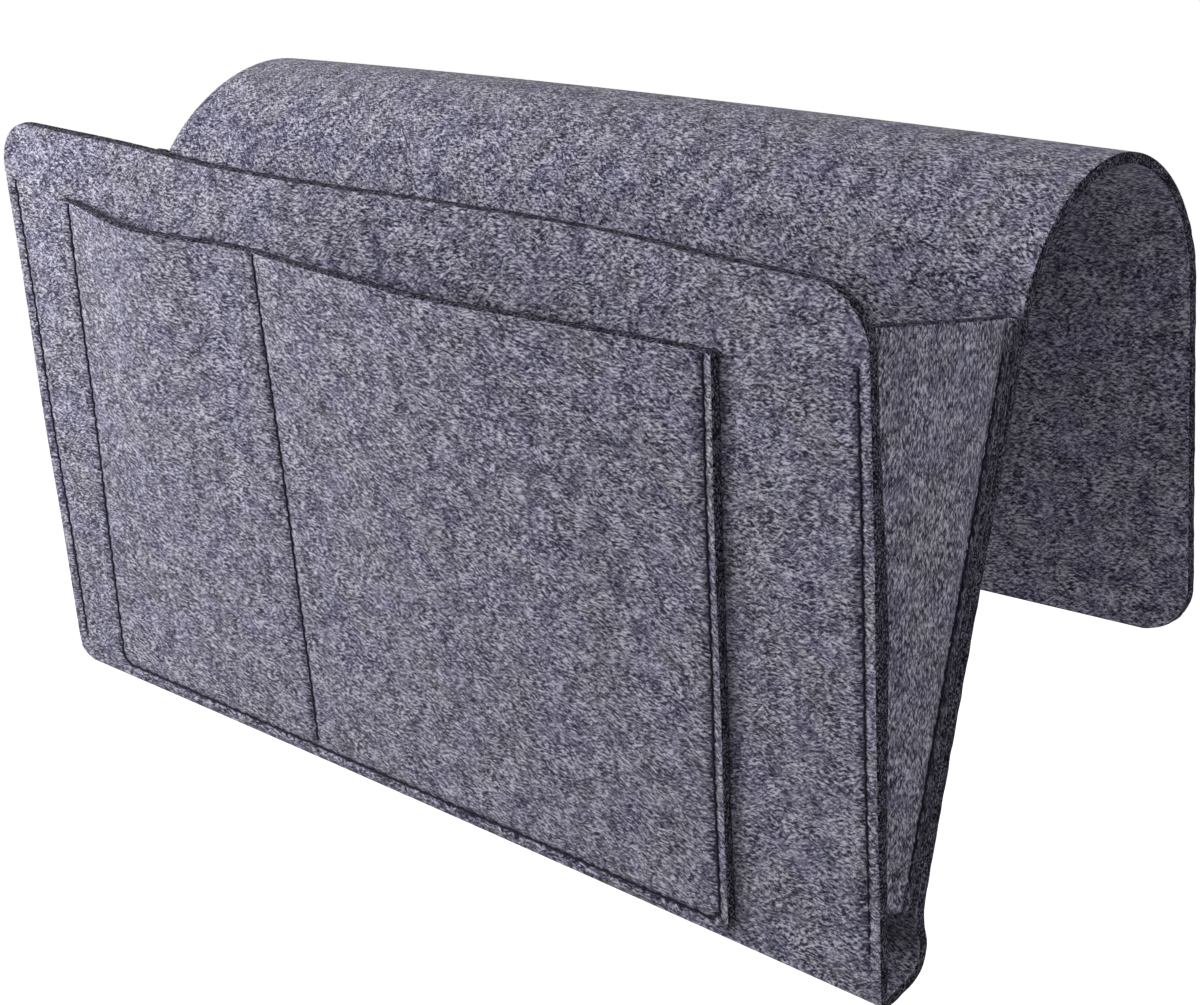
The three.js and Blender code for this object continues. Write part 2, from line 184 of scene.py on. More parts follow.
# %% [markdown]
# ## Floor
# A pale floor lies well below the hanging caddy and takes its soft shadow. It glows for the camera
# only, so it looks white without more light on the felt.

# %% Floor
FLOOR_DROP = 0.16
FLOOR_SIZE = 12.0
FLOOR_COLOUR = (0.9, 0.9, 0.9, 1.0)
FLOOR_GLOW = 0.8


def floor_material():
    material = bpy.data.materials.new("pale_floor")
    material.use_nodes = True
    tree = material.node_tree
    tree.nodes.clear()
    paint = add_node(tree, "ShaderNodeBsdfDiffuse", {"Color": FLOOR_COLOUR})
    glow = math_node(tree, "MULTIPLY", seen_directly(tree), FLOOR_GLOW)
    shine = add_node(tree, "ShaderNodeEmission", {"Strength": glow})
    both = add_node(tree, "ShaderNodeAddShader", {0: paint.outputs[0], 1: shine.outputs[0]})
    add_node(tree, "ShaderNodeOutputMaterial", {"Surface": both.outputs[0]})
    return material


def make_floor():
    half = FLOOR_SIZE / 2
    height = cad_low.z - FLOOR_DROP
    corners = [(-half, -half, height), (half, -half, height), (half, half, height), (-half, half, height)]
    mesh = bpy.data.meshes.new("floor")
    mesh.from_pydata(corners, [], [(0, 1, 2, 3)])
    mesh.materials.append(floor_material())
    floor = bpy.data.objects.new("floor", mesh)
    bpy.context.scene.collection.objects.link(floor)


make_floor()
bpy.context.scene.view_settings.view_transform = "Standard"
print("the floor lies", round(FLOOR_DROP / MM), "mm below the caddy")

# %% [markdown]
# ## Melange felt
# Felt is a mat of short fibres, and carding has turned most of them along the strip's width. This
# one mixes pale, grey and nearly black wool, so from near it shows light and dark streaks a few
# millimetres long, and from further off a cloudy mottle. A picture of felt would repeat and blur,
# so nodes lay the fibres. Soft streaks are noise, stretched along some directions. Crisp strands
# are the cells of a stretched Voronoi texture, each with a shade of its own.

# %% Two kinds of fibre layers
# The shifts move each layer elsewhere on the noise, or two layers could look alike.
LAYER_SHIFT = (31, 57)
PATCH_SHIFT = (90, 40)
# Noise scales are in waves per millimetre.
PATCH_SCALE = 0.12
PATCHINESS = 2.4
NOISE_ROUGHNESS = 0.6
STRAND_SIZE = 0.65


def noise(tree, vector, scale, detail=1.0):
    """Noise in two dimensions, moved so that it swings about 0."""
    made = add_node(tree, "ShaderNodeTexNoise", {"Vector": vector, "Scale": scale, "Detail": detail,
                                                 "Roughness": NOISE_ROUGHNESS}, noise_dimensions="2D")
    return math_node(tree, "SUBTRACT", made.outputs["Fac"], 0.5)


def laid_along(tree, surface, turn, length, width):
    """The surface's coordinates, turned and stretched so that one unit is one fibre."""
    size = add_node(tree, "ShaderNodeCombineXYZ", {"X": length, "Y": width, "Z": 1.0})
    moved = (LAYER_SHIFT[0] * turn, LAYER_SHIFT[1] * turn, 0)
    return add_node(tree, "ShaderNodeMapping",
                    {"Vector": surface, "Rotation": (0, 0, turn), "Location": moved,
                     "Scale": size.outputs[0]}, vector_type="TEXTURE").outputs[0]


def streaks(tree, surface, turn, length, width):
    """Soft streaks along one direction, stronger in some places than in others."""
    moved = (PATCH_SHIFT[0] * turn, PATCH_SHIFT[1] * turn, 0)
    shifted = add_node(tree, "ShaderNodeVectorMath", {0: surface, 1: moved}, operation="ADD")
    patches = math_node(tree, "MULTIPLY", noise(tree, shifted.outputs[0], PATCH_SCALE), PATCHINESS)
    strength = math_node(tree, "ADD", patches, 1.0)
    fibres = noise(tree, laid_along(tree, surface, turn, length, width), 1.0)
    return math_node(tree, "MULTIPLY", fibres, strength)


def strands(tree, surface, turn, length, width):
    """Crisp fibres along one direction: long narrow cells, each of one shade."""
    laid = laid_along(tree, surface, turn, math_node(tree, "MULTIPLY", length, STRAND_SIZE),
                      math_node(tree, "MULTIPLY", width, STRAND_SIZE))
    cells = add_node(tree, "ShaderNodeTexVoronoi", {"Vector": laid, "Scale": 1.0}, voronoi_dimensions="2D")
    shade = add_node(tree, "ShaderNodeSeparateColor", {0: cells.outputs["Color"]})
    return math_node(tree, "SUBTRACT", shade.outputs[0], 0.5)


print("a strand has", STRAND_SIZE, "of a streak's length and width")

# %% [markdown]
# ## The fibre group
# Layers that are turned by different angles are added up to one height: high places show pale wool
# and low ones dark wool. A slow noise bends them all, slow clouds give the mottle, and one more
# shifts the grey between cool and warm. Little light reaches into the groove of a seam, so the wool
# is darkened there. The group gives a colour, and the height for the bump.

# %% The group that lays the fibres
# Each layer of fibres has a turn in degrees and a weight.
STREAK_TURNS = {-2: 1.1, -34: 0.8, 32: 0.65, 80: 0.35}
STRAND_TURNS = {4: 0.4, -26: 0.4}
BEND_SCALE = 0.12
FIBRE_BEND_MM = 2.0
CLOUD_SCALE = 0.16
WARMTH_SCALE = 0.06
WARMTH_GAIN = 4.0
DARK_GAIN = 1.25
GROOVE_SHADE = 0.9


def make_fibre_group():
    group = bpy.data.node_groups.new("melange_fibres", "ShaderNodeTree")
    for name, kind in (("Surface", "Vector"), ("Fibre Length", "Float"), ("Fibre Width", "Float"),
                       ("Cool Wool", "Color"), ("Warm Wool", "Color"), ("Pale Wool", "Color"),
                       ("Dark Wool", "Color"), ("Contrast", "Float"), ("Mottle", "Float"),
                       ("Groove", "Float")):
        group.interface.new_socket(name, in_out="INPUT", socket_type="NodeSocket" + kind)
    group.interface.new_socket("Colour", in_out="OUTPUT", socket_type="NodeSocketColor")
    group.interface.new_socket("Height", in_out="OUTPUT", socket_type="NodeSocketFloat")

    taken = add_node(group, "NodeGroupInput").outputs
    bend = add_node(group, "ShaderNodeTexNoise",
                    {"Vector": taken["Surface"], "Scale": BEND_SCALE, "Detail": 2.0}, noise_dimensions="2D")
    bent = add_node(group, "ShaderNodeVectorMath",
                    {0: bend.outputs["Color"], 1: (FIBRE_BEND_MM, FIBRE_BEND_MM, 0), 2: taken["Surface"]},
                    operation="MULTIPLY_ADD")
    height = 0.0
    for lay, turns in ((streaks, STREAK_TURNS), (strands, STRAND_TURNS)):
        for turn, weight in turns.items():
            layer = lay(group, bent.outputs[0], math.radians(turn),
                        taken["Fibre Length"], taken["Fibre Width"])
            height = math_node(group, "ADD", math_node(group, "MULTIPLY", layer, weight), height)
    clouds = math_node(group, "MULTIPLY", noise(group, taken["Surface"], CLOUD_SCALE, 3.0), taken["Mottle"])
    tone = math_node(group, "ADD", math_node(group, "MULTIPLY", height, taken["Contrast"]), clouds)
    tone = math_node(group, "SUBTRACT", tone, math_node(group, "MULTIPLY", taken["Groove"], GROOVE_SHADE))

    drift = math_node(group, "MULTIPLY", noise(group, taken["Surface"], WARMTH_SCALE, 2.0), WARMTH_GAIN)
    warmth = math_node(group, "ADD", drift, 0.5)
    darkness = math_node(group, "MULTIPLY", tone, -DARK_GAIN)
    colour = add_node(group, "NodeReroute")
    group.links.new(taken["Cool Wool"], colour.inputs[0])
    for share, wool in ((warmth, "Warm Wool"), (darkness, "Dark Wool"), (tone, "Pale Wool")):
        limited = add_node(group, "ShaderNodeClamp", {"Value": share})
        colour = add_node(group, "ShaderNodeMixRGB", {"Fac": limited.outputs[0], "Color1": colour.outputs[0],
                                                      "Color2": taken[wool]})
    add_node(group, "NodeGroupOutput", {"Colour": colour.outputs[0], "Height": height})
    return group


fibre_group = make_fibre_group()
print("the fibre group has", len(fibre_group.nodes), "nodes")

# %% [markdown]
# ## Two finishes of one felt
# The broad faces show the melange. The cut edges are darker: there the knife has opened the mat,
# and its fibres are seen end on, so it has no sheen either. Both finishes use the same group with
# other values. The faces read a UV map that holds the flat pattern in metres, so the fibres follow
# every fold.

# %% Felt on its face and on its cut edge
PATTERN = "flat_pattern"
GROOVE = "groove"
BUMP_HEIGHT = 0.25 * MM
BUMP_STRENGTH = 0.6
FELT_ROUGHNESS = 0.95
SHEEN_ROUGHNESS = 0.6


def felt_material(name, length, width, cool, warm, pale, dark, contrast, mottle, gloss, sheen):
    material = bpy.data.materials.new(name)
    material.use_nodes = True
    tree = material.node_tree
    tree.nodes.clear()
    flat = add_node(tree, "ShaderNodeUVMap", uv_map=PATTERN)
    surface = add_node(tree, "ShaderNodeVectorMath", {0: flat.outputs[0], "Scale": 1 / MM},
                       operation="SCALE")
    fibres = add_node(tree, "ShaderNodeGroup", node_tree=fibre_group)
    for socket, value in (("Fibre Length", length), ("Fibre Width", width), ("Cool Wool", srgb(*cool)),
                          ("Warm Wool", srgb(*warm)), ("Pale Wool", srgb(*pale)), ("Dark Wool", srgb(*dark)),
                          ("Contrast", contrast), ("Mottle", mottle)):
        fibres.inputs[socket].default_value = value
    groove = add_node(tree, "ShaderNodeAttribute", attribute_name=GROOVE)
    tree.links.new(surface.outputs[0], fibres.inputs["Surface"])
    tree.links.new(groove.outputs["Fac"], fibres.inputs["Groove"])
    bump = add_node(tree, "ShaderNodeBump", {"Height": fibres.outputs["Height"], "Strength": BUMP_STRENGTH,
                                             "Distance": BUMP_HEIGHT})
    felt = add_node(tree, "ShaderNodeBsdfPrincipled",
                    {"Base Color": fibres.outputs["Colour"], "Normal": bump.outputs[0],
                     "Roughness": FELT_ROUGHNESS, "Specular IOR Level": gloss,
                     "Sheen Weight": sheen, "Sheen Roughness": SHEEN_ROUGHNESS})
    add_node(tree, "ShaderNodeOutputMaterial", {"Surface": felt.outputs[0]})
    return material


felt_face = felt_material("felt_face", length=1.8, width=0.56, cool=(103, 100, 125), warm=(109, 107, 119),
                          pale=(198, 196, 213), dark=(12, 9, 42), contrast=1.9, mottle=1.4,
                          gloss=0.15, sheen=0.12)
felt_cut = felt_material("felt_cut_edge", length=0.8, width=0.5, cool=(44, 41, 53), warm=(48, 45, 53),
                         pale=(119, 116, 131), dark=(7, 5, 16), contrast=2.2, mottle=1.2,
                         gloss=0.05, sheen=0.0)
print("felt finishes:", felt_face.name, felt_cut.name)

# %% [markdown]
# ## Directions and ripples
# Two helpers come before the felt. One brings vectors to length 1. The other makes a soft random
# ripple out of a few plane waves, because neither a cut edge nor a panel of felt is quite even. Its
# seed is given, so the same caddy comes out each time.

# %% Two helpers for points
RIPPLE_WAVES = 6
# The waves' paces differ: from this share of the mean one, and by this much for each radian drawn.
PACE_LEAST = 0.7
PACE_SPREAD = 0.1


def unit(vectors):
    return vectors / np.maximum(np.linalg.norm(vectors, axis=-1, keepdims=True), 1e-12)


def ripple(across, along, wavelength, seed):
    """A soft random field between about -1 and 1, made of a few plane waves of unlike lengths."""
    draw = np.random.default_rng(seed)
    total = np.zeros(np.broadcast(across, along).shape)
    for _ in range(RIPPLE_WAVES):
        turn, phase, stretch = draw.uniform(0, 2 * np.pi, 3)
        pace = 2 * np.pi / wavelength * (PACE_LEAST + PACE_SPREAD * stretch)
        total += np.sin(pace * (across * np.cos(turn) + along * np.sin(turn)) + phase)
    return total / math.sqrt(RIPPLE_WAVES)


print("a ripple is made of", RIPPLE_WAVES, "waves")

# %% [markdown]
# ## The cut edge of a sheet
# A knife leaves a dark band round every piece of felt, with rounded shoulders and a few stray
# fibres. The band is made of rings of points that follow the rim of the sheet's grid. Where a sheet
# butts on another one its rim stays square, so that the joint doesn't show.

# %% Rings round the edge
FELT = 2.9 * MM
HALF = FELT / 2
SHOULDER = 0.4 * MM
# Rings of the cut edge: how far in, in shoulders, and how high, in halves of the felt.
BAND = [(0.30, 0.80), (0.0, 0.38), (0.0, -0.38), (0.30, -0.80)]
FRAY = 0.10 * MM
FRAY_LENGTH = 7 * MM


def grid_rim(rows, columns):
    """Rows and columns of the points round a grid: along the head, down, back along the foot, up."""
    head = [(0, column) for column in range(columns)]
    right = [(row, columns - 1) for row in range(1, rows)]
    foot = [(rows - 1, column) for column in range(columns - 2, -1, -1)]
    left = [(row, 0) for row in range(rows - 2, 0, -1)]
    return tuple(np.array(head + right + foot + left).T)


def rim_directions(middle, normal, rim, butted):
    """The way out of the sheet at each point of its rim; none on a row that butts on more felt."""
    points = middle[rim]
    tangent = np.roll(points, -1, axis=0) - np.roll(points, 1, axis=0)
    last = middle.shape[1] - 1
    for index, (row, column) in enumerate(zip(*rim)):
        if row in butted and column in (0, last):
            step = 1 if row == 0 else -1
            way = middle[row + step, column] - middle[row, column]
            tangent[index] = way * step * (1 if column == last else -1)
    outward = unit(np.cross(normal[rim], tangent))
    inside = np.isin(rim[0], butted) & ~np.isin(rim[1], (0, last))
    outward[inside] = 0
    return outward


def edge_rings(edge, normal, outward, outer, inner, flat):
    """Rings of points round the cut edge, from the outer face to the inner one, a little frayed."""
    rings = []
    for number, (inset, level) in enumerate(BAND):
        offset = (outer - inner + (outer + inner) * level) / 2
        fray = FRAY * ripple(flat[:, 0] + flat[:, 1], number * flat[:, 1], FRAY_LENGTH, number)
        rings.append(edge + normal * offset[:, None] + outward * (fray - inset * SHOULDER)[:, None])
    return rings


def edge_faces(edge, rings):
    """Faces between rings of points, and their places on the pattern of the cut edge."""
    steps = np.linalg.norm(np.diff(edge, axis=0, append=edge[:1]), axis=1)
    walked = np.concatenate([[0], np.cumsum(steps)])
    levels = HALF * np.array([1.0, *[level for _, level in BAND], -1.0])
    faces, places = [], []
    for upper, lower, high, low in zip(rings, rings[1:], levels, levels[1:]):
        faces.append(np.stack([upper, np.roll(upper, -1), np.roll(lower, -1), lower], -1))
        corners = [(walked[:-1], high), (walked[1:], high), (walked[1:], low), (walked[:-1], low)]
        places.append(np.stack([np.stack(np.broadcast_arrays(u, v), -1) for u, v in corners], 1))
    return faces, places


print("a cut edge has", len(BAND), "rings of points over", FELT / MM, "mm of felt")

# %% [markdown]
# ## A sheet of felt from a grid
# Every felt piece is a grid of points on its middle surface: columns run across and rows run
# down. Each point is pushed out by half the felt on both sides, and the band of the cut edge joins
# the two faces. Offsets may change from point to point, so a row of stitches can squeeze the felt,
# and the squeezed places are marked as grooves. Solidify can't do that on each face by itself.

# %% The sheet builder
DIP = 1.0 * MM
GROOVE_FOCUS = 2.5


def sharpen(mesh, corners):
    """Keeps the smooth shading from rounding off the edges between these points."""
    ends = np.empty(2 * len(mesh.edges), np.int32)
    mesh.edges.foreach_get("vertices", ends)
    sharp = np.isin(ends.reshape(-1, 2), corners).all(axis=1)
    mesh.attributes.new("sharp_edge", "BOOLEAN", "EDGE").data.foreach_set("value", sharp)


def felt_mesh(name, points, faces, uv, cut_start, groove):
    """A mesh with both finishes: the faces from cut_start on are cut edges."""
    mesh = bpy.data.meshes.new(name)
    mesh.from_pydata(points.tolist(), [], faces.tolist())
    mesh.uv_layers.new(name=PATTERN).data.foreach_set("uv", uv.astype(np.float32).ravel())
    mesh.materials.append(felt_face)
    mesh.materials.append(felt_cut)
    finish = (np.arange(len(faces)) >= cut_start).astype(np.int32)
    mesh.polygons.foreach_set("material_index", finish)
    mesh.attributes.new(GROOVE, "FLOAT", "POINT").data.foreach_set("value", groove.astype(np.float32))
    mesh.shade_smooth()
    return mesh


def felt_sheet(name, middle, flat, outer, inner, butted=()):
    """A closed felt piece. Outer and inner are the offsets of its two faces from the middle."""
    rows, columns = middle.shape[:2]
    butted = [row % rows for row in butted]
    normal = unit(np.cross(np.gradient(middle, axis=0), np.gradient(middle, axis=1)))
    rim = grid_rim(rows, columns)
    outward = rim_directions(middle, normal, rim, butted)
    top = middle + normal * outer[..., None]
    under = middle - normal * inner[..., None]
    top[rim] -= outward * SHOULDER
    under[rim] -= outward * SHOULDER
    rings = edge_rings(middle[rim], normal[rim], outward, outer[rim], inner[rim], flat[rim])
    points = np.concatenate([top.reshape(-1, 3), under.reshape(-1, 3), *rings])

    count = rows * columns
    index = np.arange(count).reshape(rows, columns)
    quad = np.stack([index[:-1, :-1], index[1:, :-1], index[1:, 1:], index[:-1, 1:]], -1).reshape(-1, 4)
    ring_points = np.arange(2 * count, len(points)).reshape(len(rings), -1)
    bands, band_places = edge_faces(middle[rim], [index[rim], *ring_points, index[rim] + count])
    faces = np.concatenate([quad, quad[:, ::-1] + count, *bands])
    pattern = flat.reshape(-1, 2)
    uv = np.concatenate([pattern[quad], pattern[quad[:, ::-1]], *band_places])

    squeezed = np.clip((HALF - np.concatenate([outer.ravel(), inner.ravel()])) / DIP, 0, 1)
    groove = np.concatenate([squeezed ** GROOVE_FOCUS, np.zeros(len(points) - 2 * count)])
    mesh = felt_mesh(name, points, faces, uv, 2 * len(quad), groove)
    joint = index[butted].ravel()
    sharpen(mesh, np.concatenate([joint, joint + count]))
    mesh.update()
    piece = bpy.data.objects.new(name, mesh)
    bpy.context.scene.collection.objects.link(piece)
    print(name, "has", len(points), "points and", len(faces), "faces")
    return piece


print("a seam may squeeze each face by", DIP / MM, "mm")

# %% [markdown]
# ## Rows of stitches, before they are sewn
# The caddy is sewn with a long lockstitch in dark thread. A row is kept as its needle holes, at
# even steps along a line, in the width and height of the panel that it runs on. The holes serve
# twice: the felt is squeezed along the row, most of all at the holes, and later each thread
# runs from hole to hole.

# %% Needle holes and the felt's dip
STITCH = 4.5 * MM
SEAM_MARGIN = 4.2 * MM
DIP_REACH = 1.5 * MM
DIP_EASE = 0.4


def needle_holes(line):
    """Points at even steps, about one stitch long, along a line given by its points."""
    line = np.array(line)
    walked = np.concatenate([[0], np.cumsum(np.linalg.norm(np.diff(line, axis=0), axis=1))])
    steps = np.linspace(0, walked[-1], round(walked[-1] / STITCH) + 1)
    return np.stack([np.interp(steps, walked, line[:, axis]) for axis in range(2)], -1)


def dip_along(across, height, *rows):
    """How far rows of stitches pull the felt in, at each point of a grid."""
    points = np.stack(np.broadcast_arrays(across, height), -1)
    deepest = np.zeros(points.shape[:-1])
    for holes in rows:
        for start, end in zip(holes, holes[1:]):
            way = end - start
            share = np.clip((points - start) @ way / (way @ way), 0, 1)
            away = np.linalg.norm(points - start - share[..., None] * way, axis=-1)
            dip = DIP * (1 - DIP_EASE * np.sin(np.pi * share)) * np.exp(-(away / DIP_REACH) ** 2)
            deepest = np.maximum(deepest, dip)
    return deepest


def upright_row(across, foot, head):
    return needle_holes([(across, foot), (across, head)])


print("a stitch is about", STITCH / MM, "mm long and sinks", DIP / MM, "mm into the felt")

# %% [markdown]
# ## The strip seen from the side
# The strip's course is easiest to draw from the side, as a line made of straights and arcs: down
# the front, round the crease, along the short base, round behind and up the back. The lengths
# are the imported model's, and the crease lies on the hinge that the model turns the front on.

# %% The side line
FRONT_LEAN = math.radians(5.2)
BASE_RISE = math.radians(12)
BASE_OVERTURN = math.radians(24)
BACK_LEAN = math.radians(12.8)
CREASE_RADIUS = 1.2 * MM
BASE_RUN = 10 * MM
BASE_TURN_RADIUS = 7 * MM
KICK_RADIUS = 15 * MM
BACK_LENGTH = 133.5 * MM
FIT_GAP = 0.3 * MM
ARCH_SKEW = math.radians(1.25)


class SideLine:
    """A line of straights and arcs in Y and Z, measured by its length."""

    def __init__(self, place, heading):
        self.runs = []
        self.length = 0.0
        self.end = (*place, heading)

    def run(self, length, turn=0.0):
        self.runs.append((self.length, *self.end, turn / length))
        self.length += length
        self.end = tuple(float(part) for part in self.at(self.length))
        return self.length

    def at(self, length):
        """Y, Z and heading at these lengths. An arc's chord runs at half its turn."""
        table = np.array(self.runs)
        which = np.clip(np.searchsorted(table[:, 0], length, side="right") - 1, 0, None)
        start, y, z, heading, bend = np.moveaxis(table[which], -1, 0)
        along = length - start
        turn = along * bend
        chord = along * np.sinc(turn / (2 * np.pi))
        return (y + chord * np.cos(heading + turn / 2), z + chord * np.sin(heading + turn / 2),
                heading + turn)


front_up = np.array([0, -math.sin(FRONT_LEAN), math.cos(FRONT_LEAN)])
front_out = np.array([0, -math.cos(FRONT_LEAN), -math.sin(FRONT_LEAN)])
front_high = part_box("front_panel")[1]
EDGE = front_high.x
front_rise = (front_high.z - crease[2] - HALF * math.sin(FRONT_LEAN)) / math.cos(FRONT_LEAN)
front_head = crease + front_rise * front_up

skew_room = EDGE * math.sin(ARCH_SKEW)
back_run = BACK_LENGTH + 2 * FIT_GAP + skew_room

crease_turn = BASE_RISE + math.pi / 2 - FRONT_LEAN
crease_cut = CREASE_RADIUS * math.tan(crease_turn / 2)
kick_heading = math.pi / 2 + BASE_OVERTURN
back_heading = math.pi / 2 - BACK_LEAN
side_line = SideLine(front_head[1:], FRONT_LEAN - math.pi / 2)
crease_start = side_line.run(front_rise - crease_cut)
crease_end = side_line.run(CREASE_RADIUS * crease_turn, crease_turn)
base_end = side_line.run(BASE_RUN - crease_cut)
kick_start = side_line.run(BASE_TURN_RADIUS * (kick_heading - BASE_RISE), kick_heading - BASE_RISE)
back_start = side_line.run(KICK_RADIUS * (kick_heading - back_heading), back_heading - kick_heading)
back_end = side_line.run(back_run)
back_foot = np.array(side_line.at(back_start)[:2])
arch_foot = np.array(side_line.at(back_end)[:2])
print("front", round(front_rise / MM, 1), "mm high; the arch starts", (arch_foot / MM).round(1), "mm")

# %% [markdown]
# ## How the front panel sways
# Thick felt never hangs quite flat. Seen from above, this front panel's top edge makes a slow S:
# it swells out left of the middle and sinks in at the right. The sway grows from nothing at the
# crease to a few millimetres at the top, and everything sewn to the panel follows it.

# %% Places on the front panel
SWELL_PLACE = -45 * MM
SWELL_SPREAD = 42 * MM
SWELL = 4.3 * MM
SINK_PLACE = 72 * MM
SINK_SPREAD = 48 * MM
SINK = 4.6 * MM
SWAY_EASE = 1.6
RIPPLE = 0.35 * MM
RIPPLE_LENGTH = 60 * MM
RIPPLE_ONSET = 8
RIPPLE_SEED = 3


def sway(across, height):
    """How far the front panel stands out from its flat plane."""
    lift = np.clip(height / front_rise, 0, None) ** SWAY_EASE
    swell = SWELL * np.exp(-((across - SWELL_PLACE) / SWELL_SPREAD) ** 2)
    sink = SINK * np.exp(-((across - SINK_PLACE) / SINK_SPREAD) ** 2)
    waves = RIPPLE * ripple(across, height, RIPPLE_LENGTH, RIPPLE_SEED)
    return lift * (swell - sink) + np.minimum(lift * RIPPLE_ONSET, 1) * waves


def front_place(across, height, out):
    """World places of points this far across, up and out from the front panel's middle."""
    across, height, out = np.broadcast_arrays(across, height, out)
    out = out + sway(across, height)
    flat = np.multiply.outer(across, (1.0, 0.0, 0.0))
    return crease + flat + np.multiply.outer(height, front_up) + np.multiply.outer(out, front_out)


swayed = [round(float(sway(across, front_rise)) / MM, 1) for across in (SWELL_PLACE, SINK_PLACE)]
print("the top edge swells by", swayed[0], "mm and sinks by", -swayed[1], "mm")

# %% [markdown]
# ## Rows, columns and round corners
# A grid that follows the pattern needs close columns where a seam runs and wide ones elsewhere.
# The panel's free end has round corners: rows near the end get narrower, by the circle's rule,
# and the outermost columns are drawn in with them.

# %% Grid helpers
CORNER = 15 * MM
CORNER_ROWS = 14
SEAM_ZONE = 3 * MM
FINE_STEP = 0.5 * MM


def spaced(first, last, step):
    return np.linspace(first, last, max(2, round(abs(last - first) / step) + 1))


def in_zones(*zones):
    """Points along one zone after another, each with its own step. The last end is left out."""
    return np.concatenate([spaced(*zone)[:-1] for zone in zones])


def near(place):
    return place - SEAM_ZONE, place + SEAM_ZONE


def with_fine(line, zones):
    """The same line with close points in some zones. Points that come too near others go."""
    fine = np.concatenate([spaced(*zone, FINE_STEP) for zone in zones])
    fine = fine[(fine > line[0] + FINE_STEP) & (fine < line[-1] - FINE_STEP)]
    kept = [value for value in line[1:-1] if np.abs(fine - value).min() > FINE_STEP]
    return np.sort(np.concatenate([line[:1], kept, fine, line[-1:]]))


def corner_rows(radius, count=CORNER_ROWS):
    """Distances from a rounded end, close together where the corner turns fastest."""
    return radius * (1 - np.cos(np.linspace(0, np.pi / 2, count)))


def drawn_in(across, from_end, half, radius):
    """Columns of each row, drawn in near an end whose corners are round."""
    lost = np.clip(radius - from_end, 0, radius)
    width = half - radius + np.sqrt(radius ** 2 - lost ** 2)
    still = half - 2 * radius
    share = (width - still) / (half - still)
    beyond = np.clip(np.abs(across) - still, 0, None)
    return np.sign(across) * (np.minimum(np.abs(across), still)[None] + beyond[None] * share[:, None])


print("a corner of", CORNER / MM, "mm takes", len(corner_rows(CORNER)), "rows")

# %% [markdown]
# ## Seams of the side gussets
# Each gusset is sewn to the front panel and to the back panel, close to their edges, and closest
# to the back's. The front rows start above the crease. The back rows run on the back panel, from
# its foot to where the gusset's top edge meets it, and that place follows from the gusset's slope.

# %% Gusset sizes and their seams
GUSSET_LOW = 18 * MM
GUSSET_HIGH = 167 * MM
GUSSET_SLOPE = math.radians(8)
SEAM_FOOT = 9 * MM
SEAM_HEAD = 158 * MM
SEAM_END = 3 * MM
LAYER_GAP = 0.1 * MM
BACK_MARGIN = 2.4 * MM
stitch_x = EDGE - SEAM_MARGIN
back_stitch_x = EDGE - BACK_MARGIN

front_in = np.array([math.cos(FRONT_LEAN), math.sin(FRONT_LEAN)])
back_normal = np.array([math.cos(BACK_LEAN), -math.sin(BACK_LEAN)])
back_up = np.array([math.sin(BACK_LEAN), math.cos(BACK_LEAN)])
slope_way = np.array([math.cos(GUSSET_SLOPE), -math.sin(GUSSET_SLOPE)])


def front_seat(height):
    """Where the gusset's front margin lies on the front panel, in Y and Z."""
    return (crease[1:] + front_in * (HALF + LAYER_GAP)
            + np.multiply.outer(height, [-front_in[1], front_in[0]]))


def gusset_depth(height):
    to_back = (back_foot - front_seat(height)) @ back_normal
    return (to_back - HALF - LAYER_GAP) / (slope_way @ back_normal)


def back_height(height):
    """How far up the back panel the gusset's rear margin is, for a height on the front."""
    rear = front_seat(height) + np.multiply.outer(gusset_depth(height), slope_way)
    return (rear - back_foot) @ back_up


def seam_pair(across, foot, head):
    """The same upright row at the left, -1, and at the right, 1."""
    return {side: upright_row(side * across, foot, head) for side in (-1, 1)}


back_seam_head = min(float(back_height(GUSSET_HIGH)), BACK_LENGTH) - SEAM_END
front_rows = seam_pair(stitch_x, SEAM_FOOT, SEAM_HEAD)
front_bobbin_rows = seam_pair(stitch_x, GUSSET_LOW + SEAM_END, SEAM_HEAD)
back_rows = seam_pair(back_stitch_x, SEAM_END, back_seam_head)
print("the mouth is", round(float(gusset_depth(GUSSET_HIGH)) / MM, 1), "mm deep;",
      len(front_rows[1]) - 1, "stitches in a front seam and", len(back_rows[1]) - 1, "in a back seam")

# %% [markdown]
# ## Seams of the pocket
# The pocket is sewn down its left side, along its foot and up its right side in one go, with a
# round turn at each corner. A second row divides it into a narrow and a wide compartment. It is
# drawn upright first. Then its left side is slanted, and all of it is turned by half a degree,
# because it isn't sewn on quite square.

# %% Pocket sizes and rows
POCKET_LEFT = -130 * MM
POCKET_RIGHT = 115.7 * MM
POCKET_DIVIDER = -39.7 * MM
POCKET_FOOT = 2 * MM
POCKET_TOP = 155.8 * MM
POCKET_CORNER = 3.5 * MM
POCKET_MARGIN = 3.5 * MM
FOOT_MARGIN = 2.2 * MM
MOUTH_MARGIN = 1 * MM
ROW_CORNER = 1.5 * MM
ROW_CORNER_POINTS = 9
POCKET_SLANT = 6 * MM
POCKET_TILT = math.radians(0.45)

sewn_left = POCKET_LEFT + POCKET_MARGIN
sewn_right = POCKET_RIGHT - POCKET_MARGIN
sewn_foot = POCKET_FOOT + FOOT_MARGIN
sewn_head = POCKET_TOP - MOUTH_MARGIN


